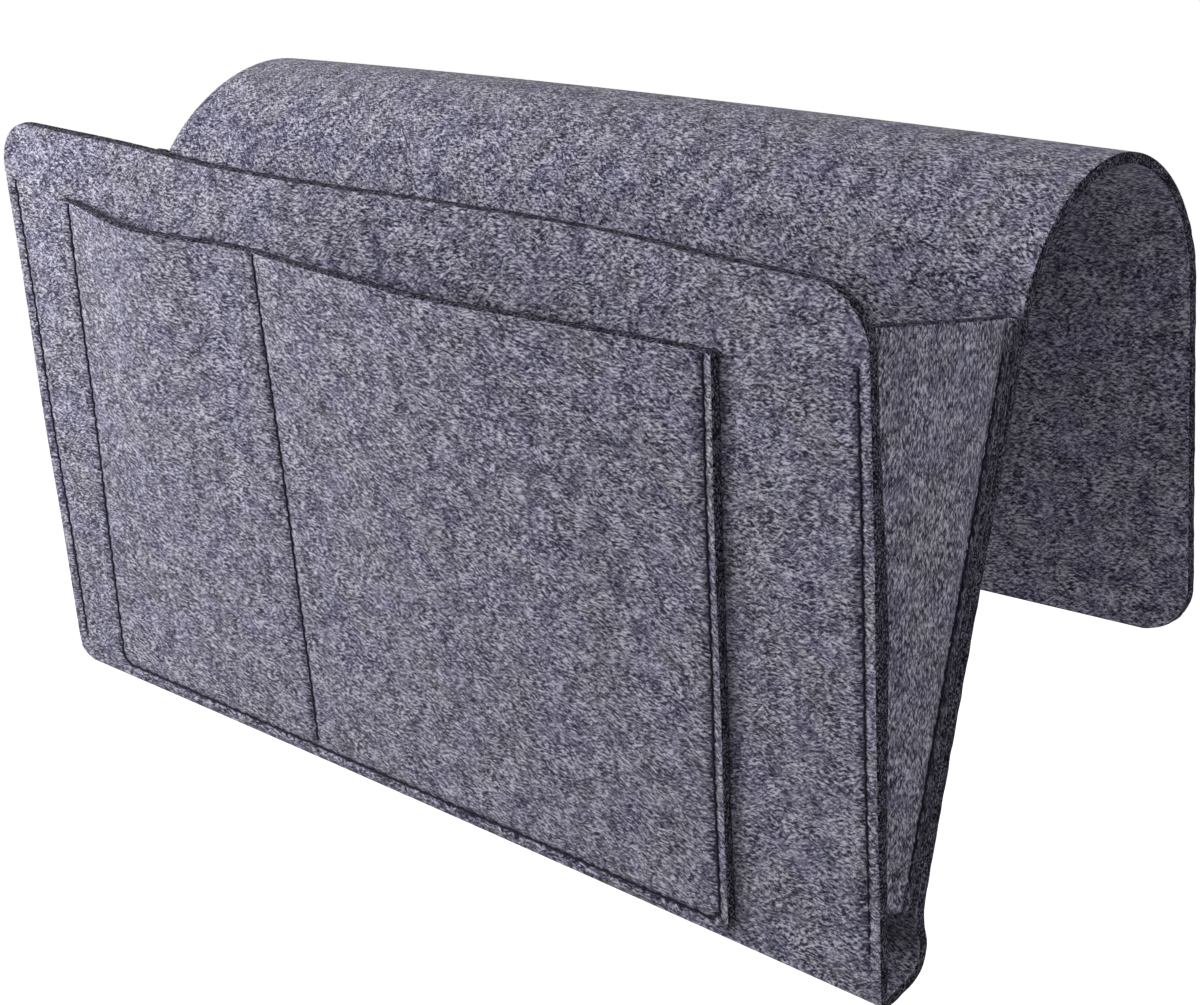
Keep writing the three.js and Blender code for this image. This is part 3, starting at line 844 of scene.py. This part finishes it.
def pocket_edge_line():
    turn = np.linspace(0, np.pi / 2, ROW_CORNER_POINTS)
    near_side = ROW_CORNER * (1 - np.cos(turn))
    far_side = ROW_CORNER * (1 - np.sin(turn))
    left = np.column_stack([sewn_left + near_side, sewn_foot + far_side])
    right = np.column_stack([sewn_right - far_side, sewn_foot + near_side])
    return [(sewn_left, sewn_head), *left, *right, (sewn_right, sewn_head)]


def on_panel(across, height):
    """Where a place on the upright pocket comes to lie on the front panel."""
    drop = (POCKET_TOP - height) / (POCKET_TOP - POCKET_FOOT)
    outer = np.clip(POCKET_DIVIDER - across, 0, None) / (POCKET_DIVIDER - POCKET_LEFT)
    across = across - POCKET_SLANT * drop * outer
    middle_x = (POCKET_LEFT + POCKET_RIGHT) / 2
    middle_height = (POCKET_FOOT + POCKET_TOP) / 2
    return (across + (height - middle_height) * math.sin(POCKET_TILT),
            height - (across - middle_x) * math.sin(POCKET_TILT))


upright_pocket_rows = [needle_holes(pocket_edge_line()),
                       upright_row(POCKET_DIVIDER, sewn_foot + STITCH / 2, sewn_head)]
pocket_rows = [np.column_stack(on_panel(*row.T)) for row in upright_pocket_rows]
print("stitches on the pocket:", [len(row) - 1 for row in pocket_rows])

# %% [markdown]
# ## How the base settles
# The felt's own weight pulls the fold at the foot down: all of it sags a little, and the right end
# droops further. Use has rounded off the left end.

# %% Sag of the fold
SAG = 1.4 * MM
SAG_REACH = 10 * MM
DROOP = 2.4 * MM
DROOP_REACH = 40 * MM
ROUND_OFF = 6 * MM
ROUND_LIFT = 3 * MM


def settled(across, z):
    """How far the felt near the fold moves up; below 0 where it sags."""
    above = z - crease[2]
    drop = DROOP * ((across / EDGE + 1) / 2) ** 2 * np.exp(-(above / DROOP_REACH) ** 2)
    drop = drop + SAG * np.exp(-(above / SAG_REACH) ** 2)
    left = np.clip((ROUND_OFF - EDGE - across) / ROUND_OFF, 0, 1)
    return ROUND_LIFT * left ** 2 * np.exp(-(above / ROUND_OFF) ** 2) - drop


print("the right end sags by", round(-float(settled(EDGE, crease[2])) / MM, 1), "mm")

# %% [markdown]
# ## Front panel, base and lower back
# The strip can't be one mesh: two hinges move it, and a mesh bends between two bodies only. So it
# is cut across the back panel, behind the tail, where nobody sees the joint. This lower sheet
# starts at the front's top edge. At the crease the felt is pinched thinner, or its inner face
# would fold through itself.

# %% The lower sheet
COLUMN_STEP = 2.6 * MM
FRONT_ROW_STEP = STITCH / 4
ABOVE_CREASE_STEP = 0.8 * MM
CREASE_STEP = 0.2 * MM
BASE_STEP = 0.7 * MM
TURN_STEP = 0.6 * MM
BACK_ROW_STEP = 2 * MM
CREASE_ZONE = 6 * MM
LOWER_BACK = 67 * MM
PINCH = 0.45 * MM
PINCH_REACH = 4 * MM
split = back_start + LOWER_BACK
left_zone = (sewn_left - POCKET_SLANT - SEAM_ZONE, sewn_left + SEAM_ZONE)
strip_columns = with_fine(spaced(-EDGE, EDGE, COLUMN_STEP), [
    near(-stitch_x), left_zone, near(POCKET_DIVIDER), near(sewn_right), near(stitch_x)])


def back_seam_dip(across, along):
    """Dips on the rear of the back panel; along is the strip's length from the front's top edge."""
    return dip_along(across, along - back_start, *back_rows.values())


def make_lower_sheet():
    rows = np.concatenate([
        corner_rows(CORNER)[:-1],
        in_zones((CORNER, crease_start - CREASE_ZONE, FRONT_ROW_STEP),
                 (crease_start - CREASE_ZONE, crease_start, ABOVE_CREASE_STEP),
                 (crease_start, crease_end, CREASE_STEP),
                 (crease_end, base_end, BASE_STEP),
                 (base_end, back_start, TURN_STEP),
                 (back_start, split, BACK_ROW_STEP)),
        [split],
    ])
    across = drawn_in(strip_columns, rows, EDGE, CORNER)
    along = np.broadcast_to(rows[:, None], across.shape)
    height = np.where(along < crease_start, front_rise - along, 0)
    y, z, heading = side_line.at(along)
    out = np.stack([np.zeros_like(y), np.sin(heading), -np.cos(heading)], -1)
    middle = np.stack([across, y, z], -1) + out * sway(across, height)[..., None]
    middle[..., 2] += settled(across, z)

    from_crease = np.abs(along - (crease_start + crease_end) / 2)
    pinch = PINCH * np.exp(-(from_crease / PINCH_REACH) ** 2)
    on_front = along < crease_start
    on_back = along > kick_start
    outer = HALF - np.where(on_front, dip_along(across, height, *front_rows.values()), 0)
    outer = outer - np.where(on_back, back_seam_dip(across, along), 0) - pinch / 2
    inner = HALF - np.where(on_front, dip_along(across, height, *pocket_rows), 0) - pinch
    flat = np.stack([across, along], -1)
    return felt_sheet("front_and_base_felt", middle, flat, outer, inner, butted=[-1])


lower_sheet = make_lower_sheet()

# %% [markdown]
# ## Upper back, arch and tail
# The arch isn't rolled quite square: its right end stands higher, and the tail hangs a little
# askew. Felt hardly stretches, so in the flat pattern the roll's axis is turned by a small angle,
# and the sheet is wound on a cylinder along that axis, which keeps every length. Two soft forms
# come on top: the crown stands a little higher than the cylinder, and the left end leans back,
# most of all behind the crown, and comes back to its place at the tail's foot.

# %% The upper sheet
ARCH_RADIUS = 37.7 * MM
TAIL_FLARE = math.radians(4)
TAIL_LENGTH = 97.5 * MM
ARCH_STEP = 1.8 * MM
TAIL_STEP = 2 * MM
CROWN_LIFT = 2.85 * MM
CROWN_TILT = 0.2 * MM
CROWN_SAG = 1.2 * MM
LEFT_PULL = 12 * MM
PULL_COURSE = (1.2, 2.4)
arch_turn = back_heading + math.pi / 2 - TAIL_FLARE
arch_run = ARCH_RADIUS * arch_turn
arch_end = back_end + arch_run
strip_end = arch_end + skew_room + FIT_GAP + TAIL_LENGTH


def hump(share, before, after):
    """0 at both ends and 1 at the peak; the peak lies at before / (before + after)."""
    share = np.clip(share, 0, 1)
    peak = before / (before + after)
    return share ** before * (1 - share) ** after / (peak ** before * (1 - peak) ** after)


def rolled(across, along):
    """World places of the upper strip, wound on a cylinder whose axis is skewed."""
    right = np.array([1.0, 0, 0])
    up = np.array([0, *back_up])
    axis = math.cos(ARCH_SKEW) * right + math.sin(ARCH_SKEW) * up
    climb = math.cos(ARCH_SKEW) * up - math.sin(ARCH_SKEW) * right
    to_centre = np.array([0, *back_normal])
    on_axis = across * math.cos(ARCH_SKEW) + (along - back_end) * math.sin(ARCH_SKEW)
    round_it = (along - back_end) * math.cos(ARCH_SKEW) - across * math.sin(ARCH_SKEW)
    turn = np.clip(round_it / ARCH_RADIUS, 0, arch_turn)
    before = np.minimum(round_it, 0)
    after = np.maximum(round_it - arch_run, 0)
    climbed = before + ARCH_RADIUS * np.sin(turn) + after * math.cos(arch_turn)
    moved_in = ARCH_RADIUS * (1 - np.cos(turn)) + after * math.sin(arch_turn)
    share = across / EDGE
    lift = CROWN_LIFT + CROWN_TILT * share - CROWN_SAG * share ** 2
    climbed = climbed + lift * np.sin(np.pi * turn / arch_turn) ** 2
    pulled = hump(round_it / (arch_run + TAIL_LENGTH), *PULL_COURSE)
    moved_in = moved_in + LEFT_PULL * np.clip(-share, 0, 1) ** 2 * pulled
    start = np.array([0, *arch_foot])
    return (start + np.multiply.outer(on_axis, axis) + np.multiply.outer(climbed, climb)
            + np.multiply.outer(moved_in, to_centre))


def make_upper_sheet():
    rows = np.concatenate([
        in_zones((split, back_end, BACK_ROW_STEP), (back_end, arch_end, ARCH_STEP),
                 (arch_end, strip_end - CORNER, TAIL_STEP)),
        strip_end - corner_rows(CORNER)[::-1],
    ])
    across = drawn_in(strip_columns, strip_end - rows, EDGE, CORNER)
    along = np.broadcast_to(rows[:, None], across.shape)
    middle = rolled(across, along)
    outer = HALF - back_seam_dip(across, along)
    inner = np.full(across.shape, HALF)
    flat = np.stack([across, along], -1)
    return felt_sheet("arch_and_tail_felt", middle, flat, outer, inner, butted=[0])


upper_sheet = make_upper_sheet()

# %% [markdown]
# ## Patch pocket
# The pocket lies flat on the panel along its seams and gapes between them at its mouth. The narrow
# compartment gapes most left of its middle and the wide one in its middle. The gape dies out
# towards the foot.

# %% The pocket
COMPARTMENTS = [
    {"left": sewn_left, "right": POCKET_DIVIDER, "gape": 6.5 * MM, "course": (1.6, 2.1), "fade": 1.5},
    {"left": POCKET_DIVIDER, "right": sewn_right, "gape": 8 * MM, "course": (1.4, 1.4), "fade": 1.2},
]
POCKET_STEP = 1.2 * MM
POCKET_CORNER_ROWS = 16
POCKET_ON_PATTERN = 3 * EDGE


def pocket_gape(across, height):
    """How far the pocket stands off the panel: each compartment swells by itself."""
    rise = np.clip((height - sewn_foot) / (POCKET_TOP - sewn_foot), 0, 1)
    gape = np.zeros(across.shape)
    for room in COMPARTMENTS:
        share = (across - room["left"]) / (room["right"] - room["left"])
        gape += room["gape"] * hump(share, *room["course"]) * rise ** room["fade"]
    return gape


def make_pocket():
    middle_x = (POCKET_LEFT + POCKET_RIGHT) / 2
    half = (POCKET_RIGHT - POCKET_LEFT) / 2
    columns = with_fine(spaced(-half, half, POCKET_STEP), [
        near(place - middle_x) for place in (sewn_left, POCKET_DIVIDER, sewn_right)])
    heights = np.concatenate([
        in_zones((POCKET_TOP, POCKET_FOOT + POCKET_CORNER, POCKET_STEP)),
        POCKET_FOOT + corner_rows(POCKET_CORNER, POCKET_CORNER_ROWS)[::-1],
    ])
    across = middle_x + drawn_in(columns, heights - POCKET_FOOT, half, POCKET_CORNER)
    height = np.broadcast_to(heights[:, None], across.shape)
    middle = front_place(*on_panel(across, height), FELT + LAYER_GAP + pocket_gape(across, height))
    outer = HALF - dip_along(across, height, *upright_pocket_rows)
    inner = np.full(across.shape, HALF)
    flat = np.stack([across + POCKET_ON_PATTERN, height], -1)
    return felt_sheet("front_pocket_felt", middle, flat, outer, inner)


pocket = make_pocket()

# %% [markdown]
# ## The section of a gusset
# A gusset is a wedge of felt whose two long margins are turned outwards and sewn to the panels,
# so the sides of the caddy show a recessed face between two bands of cut edges. Its section runs
# from the front margin's cut edge round a bend, across the web, and round to the back margin. The
# rear bend lies nearer the edge, and the front margin is cut back at its foot and its head.

# %% A gusset's section
FRONT_FOLD = 5 * MM
REAR_FOLD = 2.7 * MM
WEB_X = EDGE - FRONT_FOLD - HALF
REAR_WEB_X = EDGE - REAR_FOLD - HALF
GUSSET_BEND = 1.6 * MM
WEB_BULGE = 1.6 * MM
BULGE_SHARE = 0.07
BULGE_FLATNESS = 6
# How far the front margin is cut back at its foot, its middle and its head.
FRONT_INSETS = (2.6 * MM, 0.5 * MM, 2.9 * MM)
REAR_INSET = 0.2 * MM
FLANGE_COLUMNS = 9
BEND_COLUMNS = 9
WEB_COLUMNS = 32


def gusset_section(height):
    """Columns of a gusset at one height: X, and how far from the front seat each column is."""
    depth = float(gusset_depth(height))
    front_in_line = HALF / (slope_way @ front_in)
    back_in_line = depth - HALF / (slope_way @ back_normal)
    middle = (GUSSET_LOW + GUSSET_HIGH) / 2
    inset = np.interp(height, (GUSSET_LOW, middle, GUSSET_HIGH), FRONT_INSETS)
    turn = np.linspace(0, np.pi / 2, BEND_COLUMNS)
    bend_x = GUSSET_BEND * (1 - np.sin(turn))
    bend_in = GUSSET_BEND * (1 - np.cos(turn))
    flanges = [np.linspace(EDGE - cut, fold + GUSSET_BEND, FLANGE_COLUMNS, endpoint=False)
               for cut, fold in ((inset, WEB_X), (REAR_INSET, REAR_WEB_X))]
    share = np.linspace(0, 1, WEB_COLUMNS + 2)[1:-1]
    web = np.interp(share, (0, 1), (front_in_line + GUSSET_BEND, back_in_line - GUSSET_BEND))
    bulge = min(WEB_BULGE, BULGE_SHARE * (web[-1] - web[0])) * (1 - (2 * share - 1) ** BULGE_FLATNESS)
    web_x = WEB_X + (REAR_WEB_X - WEB_X) * share + bulge
    x = np.concatenate([flanges[0], WEB_X + bend_x, web_x, REAR_WEB_X + bend_x[::-1], flanges[1][::-1]])
    across = np.concatenate([np.full(FLANGE_COLUMNS, front_in_line), front_in_line + bend_in, web,
                             back_in_line - bend_in[::-1], np.full(FLANGE_COLUMNS, back_in_line)])
    return x, across


print("a gusset's section has", len(gusset_section(GUSSET_HIGH)[0]), "columns")

# %% [markdown]
# ## Side gussets
# A gusset is a stack of such sections, from its head to its foot. They narrow by themselves, because
# the front and back panels lean towards each other. The gusset was cut with its fibres running up,
# unlike the strip, so its pattern is turned. The left one is the right one mirrored, with its
# columns in reverse order, or its faces would point inwards.

# %% The gussets
GUSSET_ROW_STEP = 1.5 * FRONT_ROW_STEP
GUSSET_ON_PATTERN = {-1: 5 * EDGE, 1: 9 * EDGE}


def make_gusset(name, side):
    heights = spaced(GUSSET_HIGH, GUSSET_LOW, GUSSET_ROW_STEP)
    sections = [gusset_section(height) for height in heights]
    x = np.array([section[0] for section in sections])
    across = np.array([section[1] for section in sections])
    place = front_seat(heights)[:, None] + np.multiply.outer(across, slope_way)
    follow = sway(side * EDGE, heights)[:, None] * (1 - across / across[:, -1:])
    place = place - follow[..., None] * front_in
    middle = np.concatenate([side * x[..., None], place], -1)
    height = np.broadcast_to(heights[:, None], x.shape)
    columns = np.arange(x.shape[1])
    outer = np.full(x.shape, HALF)
    inner = np.full(x.shape, HALF)
    front_dip = dip_along(x, height, np.abs(front_bobbin_rows[1]))
    back_dip = dip_along(x, back_height(height), np.abs(back_rows[1]))
    outer -= np.where(columns <= FLANGE_COLUMNS, front_dip, 0)
    outer -= np.where(columns[::-1] <= FLANGE_COLUMNS, back_dip, 0)
    walked = np.cumsum(np.hypot(np.gradient(x, axis=1), np.gradient(across, axis=1)), axis=1)
    flat = np.stack([GUSSET_ON_PATTERN[side] - height, walked], -1)
    if side < 0:
        middle, flat, outer = middle[:, ::-1], flat[:, ::-1], outer[:, ::-1]
    return felt_sheet(name, middle, flat, outer, inner)


gussets = {-1: make_gusset("gusset_left_felt", -1), 1: make_gusset("gusset_right_felt", 1)}

# %% [markdown]
# ## Dark sewing thread
# The thread is plied: two strands twisted together, nearly black, with a blue cast. Each stitch
# carries an attribute that winds round it like a screw, and the finish uses it for the strands.

# %% The thread's finish
PLY = "ply"
PLY_STRANDS = 2
PLY_BUMP = 0.12 * MM
PLY_BUMP_STRENGTH = 0.7
THREAD_ROUGHNESS = 0.7
THREAD_GLOSS = 0.2
THREAD_DARK = srgb(8, 5, 20)
THREAD_PALE = srgb(26, 22, 44)


def thread_material():
    material = bpy.data.materials.new("sewing_thread")
    material.use_nodes = True
    tree = material.node_tree
    tree.nodes.clear()
    winding = add_node(tree, "ShaderNodeAttribute", attribute_name=PLY)
    angle = math_node(tree, "MULTIPLY", winding.outputs["Fac"], PLY_STRANDS * 2 * math.pi)
    wave = math_node(tree, "SINE", angle)
    strand = add_node(tree, "ShaderNodeMapRange", {"Value": wave, "From Min": -1.0, "From Max": 1.0})
    colour = add_node(tree, "ShaderNodeMixRGB", {"Fac": strand.outputs[0], "Color1": THREAD_DARK,
                                                 "Color2": THREAD_PALE})
    bump = add_node(tree, "ShaderNodeBump", {"Height": strand.outputs[0], "Distance": PLY_BUMP,
                                             "Strength": PLY_BUMP_STRENGTH})
    yarn = add_node(tree, "ShaderNodeBsdfPrincipled",
                    {"Base Color": colour.outputs[0], "Normal": bump.outputs[0],
                     "Roughness": THREAD_ROUGHNESS, "Specular IOR Level": THREAD_GLOSS})
    add_node(tree, "ShaderNodeOutputMaterial", {"Surface": yarn.outputs[0]})
    return material


thread = thread_material()
print("thread finish:", thread.name)

# %% [markdown]
# ## One stitch
# A stitch is a short thread that arches over the felt and dives into a needle hole at each end. It
# is a curve with a round section. How far along and how far round each point lies is captured on
# the curves before they become a mesh, because the winding is worked out from both.

# %% The nodes of one stitch
THREAD_STEPS = 7
THREAD_SIDES = 7
TWISTS = 3.0


def thread_along(tree, taken):
    """One stitch, made along X: an arched curve with a round section and a winding attribute."""
    half = math_node(tree, "MULTIPLY", taken["Stitch Length"], 0.5)
    start = math_node(tree, "MULTIPLY", half, -1.0)
    sunk = math_node(tree, "MULTIPLY", taken["Sink"], -1.0)
    crown = math_node(tree, "ADD", taken["Sink"], taken["Rise"])
    ends = [add_node(tree, "ShaderNodeCombineXYZ", {"X": x, "Z": z}).outputs[0]
            for x, z in ((start, sunk), (0.0, crown), (half, sunk))]
    arch = add_node(tree, "GeometryNodeCurveQuadraticBezier",
                    {"Resolution": THREAD_STEPS, "Start": ends[0], "Middle": ends[1], "End": ends[2]})
    ring = add_node(tree, "GeometryNodeCurvePrimitiveCircle",
                    {"Resolution": THREAD_SIDES, "Radius": taken["Thread Radius"]})
    shares = []
    for curve in (arch, ring):
        share = add_node(tree, "GeometryNodeCaptureAttribute", {"Geometry": curve.outputs["Curve"]})
        share.capture_items.new("FLOAT", "Share")
        along = add_node(tree, "GeometryNodeSplineParameter")
        tree.links.new(along.outputs["Factor"], share.inputs["Share"])
        shares.append(share)
    tube = add_node(tree, "GeometryNodeCurveToMesh",
                    {"Curve": shares[0].outputs["Geometry"], "Profile Curve": shares[1].outputs["Geometry"],
                     "Fill Caps": True})
    wound = math_node(tree, "MULTIPLY_ADD", shares[0].outputs["Share"], TWISTS)
    tree.links.new(shares[1].outputs["Share"], wound.node.inputs[2])
    stored = add_node(tree, "GeometryNodeStoreNamedAttribute",
                      {"Geometry": tube.outputs["Mesh"], "Name": PLY, "Value": wound},
                      data_type="FLOAT", domain="POINT")
    return stored.outputs["Geometry"]


print("a stitch has", THREAD_STEPS, "steps and", THREAD_SIDES, "sides")

# %% [markdown]
# ## Stitches by Geometry Nodes
# A seam goes in as a mesh of edges: each vertex is a needle hole and each edge one stitch. The
# tree turns every edge into a point and puts a stitch there, turned along the edge. An attribute on
# the holes says which way is out of the felt, and a small random turn keeps the row from looking
# printed.

# %% The stitch tree
OUTWARD = "outward"


def add_sockets(tree, sockets):
    """Adds inputs to a tree and returns the identifier of each by its name."""
    return {name: tree.interface.new_socket(name, in_out="INPUT", socket_type=kind).identifier
            for name, kind in sockets.items()}


def make_stitch_tree():
    tree = bpy.data.node_groups.new("lockstitch", "GeometryNodeTree")
    tree.interface.new_socket("Seams", in_out="INPUT", socket_type="NodeSocketGeometry")
    names = add_sockets(tree, {"Stitch Length": "NodeSocketFloat", "Thread Radius": "NodeSocketFloat",
                               "Sink": "NodeSocketFloat", "Rise": "NodeSocketFloat",
                               "Sway": "NodeSocketFloat", "Seed": "NodeSocketInt",
                               "Thread": "NodeSocketMaterial"})
    tree.interface.new_socket("Stitches", in_out="OUTPUT", socket_type="NodeSocketGeometry")
    taken = add_node(tree, "NodeGroupInput").outputs

    ends = add_node(tree, "GeometryNodeInputMeshEdgeVertices").outputs
    span = add_node(tree, "ShaderNodeVectorMath", {0: ends["Position 2"], 1: ends["Position 1"]},
                    operation="SUBTRACT")
    out = add_node(tree, "GeometryNodeInputNamedAttribute", {"Name": OUTWARD}, data_type="FLOAT_VECTOR")
    kept = add_node(tree, "GeometryNodeCaptureAttribute", {"Geometry": taken["Seams"]}, domain="EDGE")
    for name, value in (("Span", span.outputs[0]), ("Out", out.outputs["Attribute"])):
        kept.capture_items.new("VECTOR", name)
        tree.links.new(value, kept.inputs[name])
    points = add_node(tree, "GeometryNodeMeshToPoints", {"Mesh": kept.outputs["Geometry"]}, mode="EDGES")
    along = add_node(tree, "FunctionNodeAlignRotationToVector", {"Vector": kept.outputs["Span"]}, axis="X")
    upright = add_node(tree, "FunctionNodeAlignRotationToVector",
                       {"Rotation": along.outputs[0], "Vector": kept.outputs["Out"]},
                       axis="Z", pivot_axis="X")
    back = math_node(tree, "MULTIPLY", taken["Sway"], -1.0)
    drift = add_node(tree, "FunctionNodeRandomValue", {"Seed": taken["Seed"]}, data_type="FLOAT")
    tree.links.new(back, drift.inputs[2])
    tree.links.new(taken["Sway"], drift.inputs[3])
    turned = add_node(tree, "ShaderNodeCombineXYZ", {"Z": drift.outputs[1]})
    spun = add_node(tree, "FunctionNodeEulerToRotation", {"Euler": turned.outputs[0]})
    placed = add_node(tree, "FunctionNodeRotateRotation",
                      {"Rotation": upright.outputs[0], "Rotate By": spun.outputs[0]}, rotation_space="LOCAL")
    sewn = add_node(tree, "GeometryNodeInstanceOnPoints",
                    {"Points": points.outputs[0], "Instance": thread_along(tree, taken),
                     "Rotation": placed.outputs[0]})
    real = add_node(tree, "GeometryNodeRealizeInstances", {"Geometry": sewn.outputs[0]})
    smooth = add_node(tree, "GeometryNodeSetShadeSmooth", {"Geometry": real.outputs[0]})
    dyed = add_node(tree, "GeometryNodeSetMaterial", {"Geometry": smooth.outputs[0],
                                                      "Material": taken["Thread"]})
    add_node(tree, "NodeGroupOutput", {"Stitches": dyed.outputs[0]})
    return tree, names


stitch_tree, stitch_names = make_stitch_tree()
print("stitch inputs:", ", ".join(stitch_names))

# %% [markdown]
# ## Sewing the rows
# A lockstitch shows on both faces, so every row is sewn twice: the needle's thread outside and
# the bobbin's inside. The holes are placed at the bottom of the dip, and all the rows of one
# body become one mesh.

# %% Sew
THREAD_RADIUS = 0.3 * MM
STITCH_SETTINGS = {"Stitch Length": 0.93 * STITCH, "Thread Radius": THREAD_RADIUS, "Sink": 0.35 * MM,
                   "Rise": 0.1 * MM, "Sway": math.radians(4), "Seed": 11, "Thread": thread}
THREAD_RAISED = 0.4 * THREAD_RADIUS
SEAT = HALF - DIP * (1 - DIP_EASE) + THREAD_RAISED


def thread_level(layers):
    """A thread's way out and its distance: layers counts the felts under it, below 0 inside."""
    way = math.copysign(1, layers)
    return way, way * ((abs(layers) - 1) * (FELT + LAYER_GAP) + SEAT)


def front_face_row(holes, layers):
    """Holes on the front panel, and the way out of the felt there."""
    way, level = thread_level(layers)
    return front_place(holes[:, 0], holes[:, 1], level), way * front_out


def back_face_row(holes, layers):
    """Holes on the back panel, and the way out of the felt there: behind it, layers is above 0."""
    way, level = thread_level(layers)
    flat = back_foot + np.multiply.outer(holes[:, 1], back_up) + level * back_normal
    return np.column_stack([holes[:, 0], flat]), way * np.array([0, *back_normal])


def sew(name, rows):
    """One mesh of stitches from rows of holes, each with its direction out of the felt."""
    points = np.concatenate([holes for holes, _ in rows])
    ways = np.concatenate([np.tile(way, (len(holes), 1)) for holes, way in rows])
    starts = np.cumsum([0] + [len(holes) for holes, _ in rows])
    edges = [(i, i + 1) for a, b in zip(starts, starts[1:]) for i in range(a, b - 1)]
    seams = bpy.data.meshes.new(name + "_seams")
    seams.from_pydata(points.tolist(), edges, [])
    seams.attributes.new(OUTWARD, "FLOAT_VECTOR", "POINT").data.foreach_set("vector", ways.ravel())
    holder = bpy.data.objects.new(name + "_seams", seams)
    bpy.context.scene.collection.objects.link(holder)
    modifier = holder.modifiers.new("lockstitch", "NODES")
    modifier.node_group = stitch_tree
    for setting, value in STITCH_SETTINGS.items():
        modifier[stitch_names[setting]] = value
    made = bpy.data.meshes.new_from_object(holder.evaluated_get(bpy.context.evaluated_depsgraph_get()))
    bpy.data.objects.remove(holder)
    bpy.data.meshes.remove(seams)
    made.name = name
    stitches = bpy.data.objects.new(name, made)
    bpy.context.scene.collection.objects.link(stitches)
    print(name, "has", len(edges), "stitches and", len(made.polygons), "faces")
    return stitches


front_stitches = sew("front_stitches", [
    *[front_face_row(holes, 1) for holes in front_rows.values()],
    *[front_face_row(holes, -2) for holes in front_bobbin_rows.values()],
    *[front_face_row(holes, 2) for holes in pocket_rows],
    *[front_face_row(holes, -1) for holes in pocket_rows],
])
back_stitches = sew("back_stitches", [
    *[back_face_row(holes, 1) for holes in back_rows.values()],
    *[back_face_row(holes, -2) for holes in back_rows.values()],
])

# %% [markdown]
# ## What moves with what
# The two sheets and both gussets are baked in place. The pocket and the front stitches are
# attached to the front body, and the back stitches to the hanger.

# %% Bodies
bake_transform(lower_sheet)
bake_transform(upper_sheet)


def fan_out(piece):
    """Bakes a gusset's place into its mesh."""
    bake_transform(piece)


for piece in gussets.values():
    fan_out(piece)
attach(pocket, "front")
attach(front_stitches, "front")
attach(back_stitches, "hanger")

# %% [markdown]
# ## Replaced solids
# The solids of the imported model that the felt pieces and the stitches stand for are hidden, and
# the flat strip's size is printed.

# %% Hide the replaced solids
threads = [name for name in frame["nodes"] if name.endswith("_thread")]
back_threads = [name for name in threads if name.startswith("back")]
front_threads = [name for name in threads if name not in back_threads]
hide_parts("front_panel", "base_strip", "back_panel")
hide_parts("saddle_arch", "tail_flap")
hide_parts("front_pocket")
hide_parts("gusset_left")
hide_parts("gusset_right")
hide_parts(*front_threads)
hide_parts(*back_threads)

print("flat strip", round(2 * EDGE / MM), "x", round(strip_end / MM), "mm")
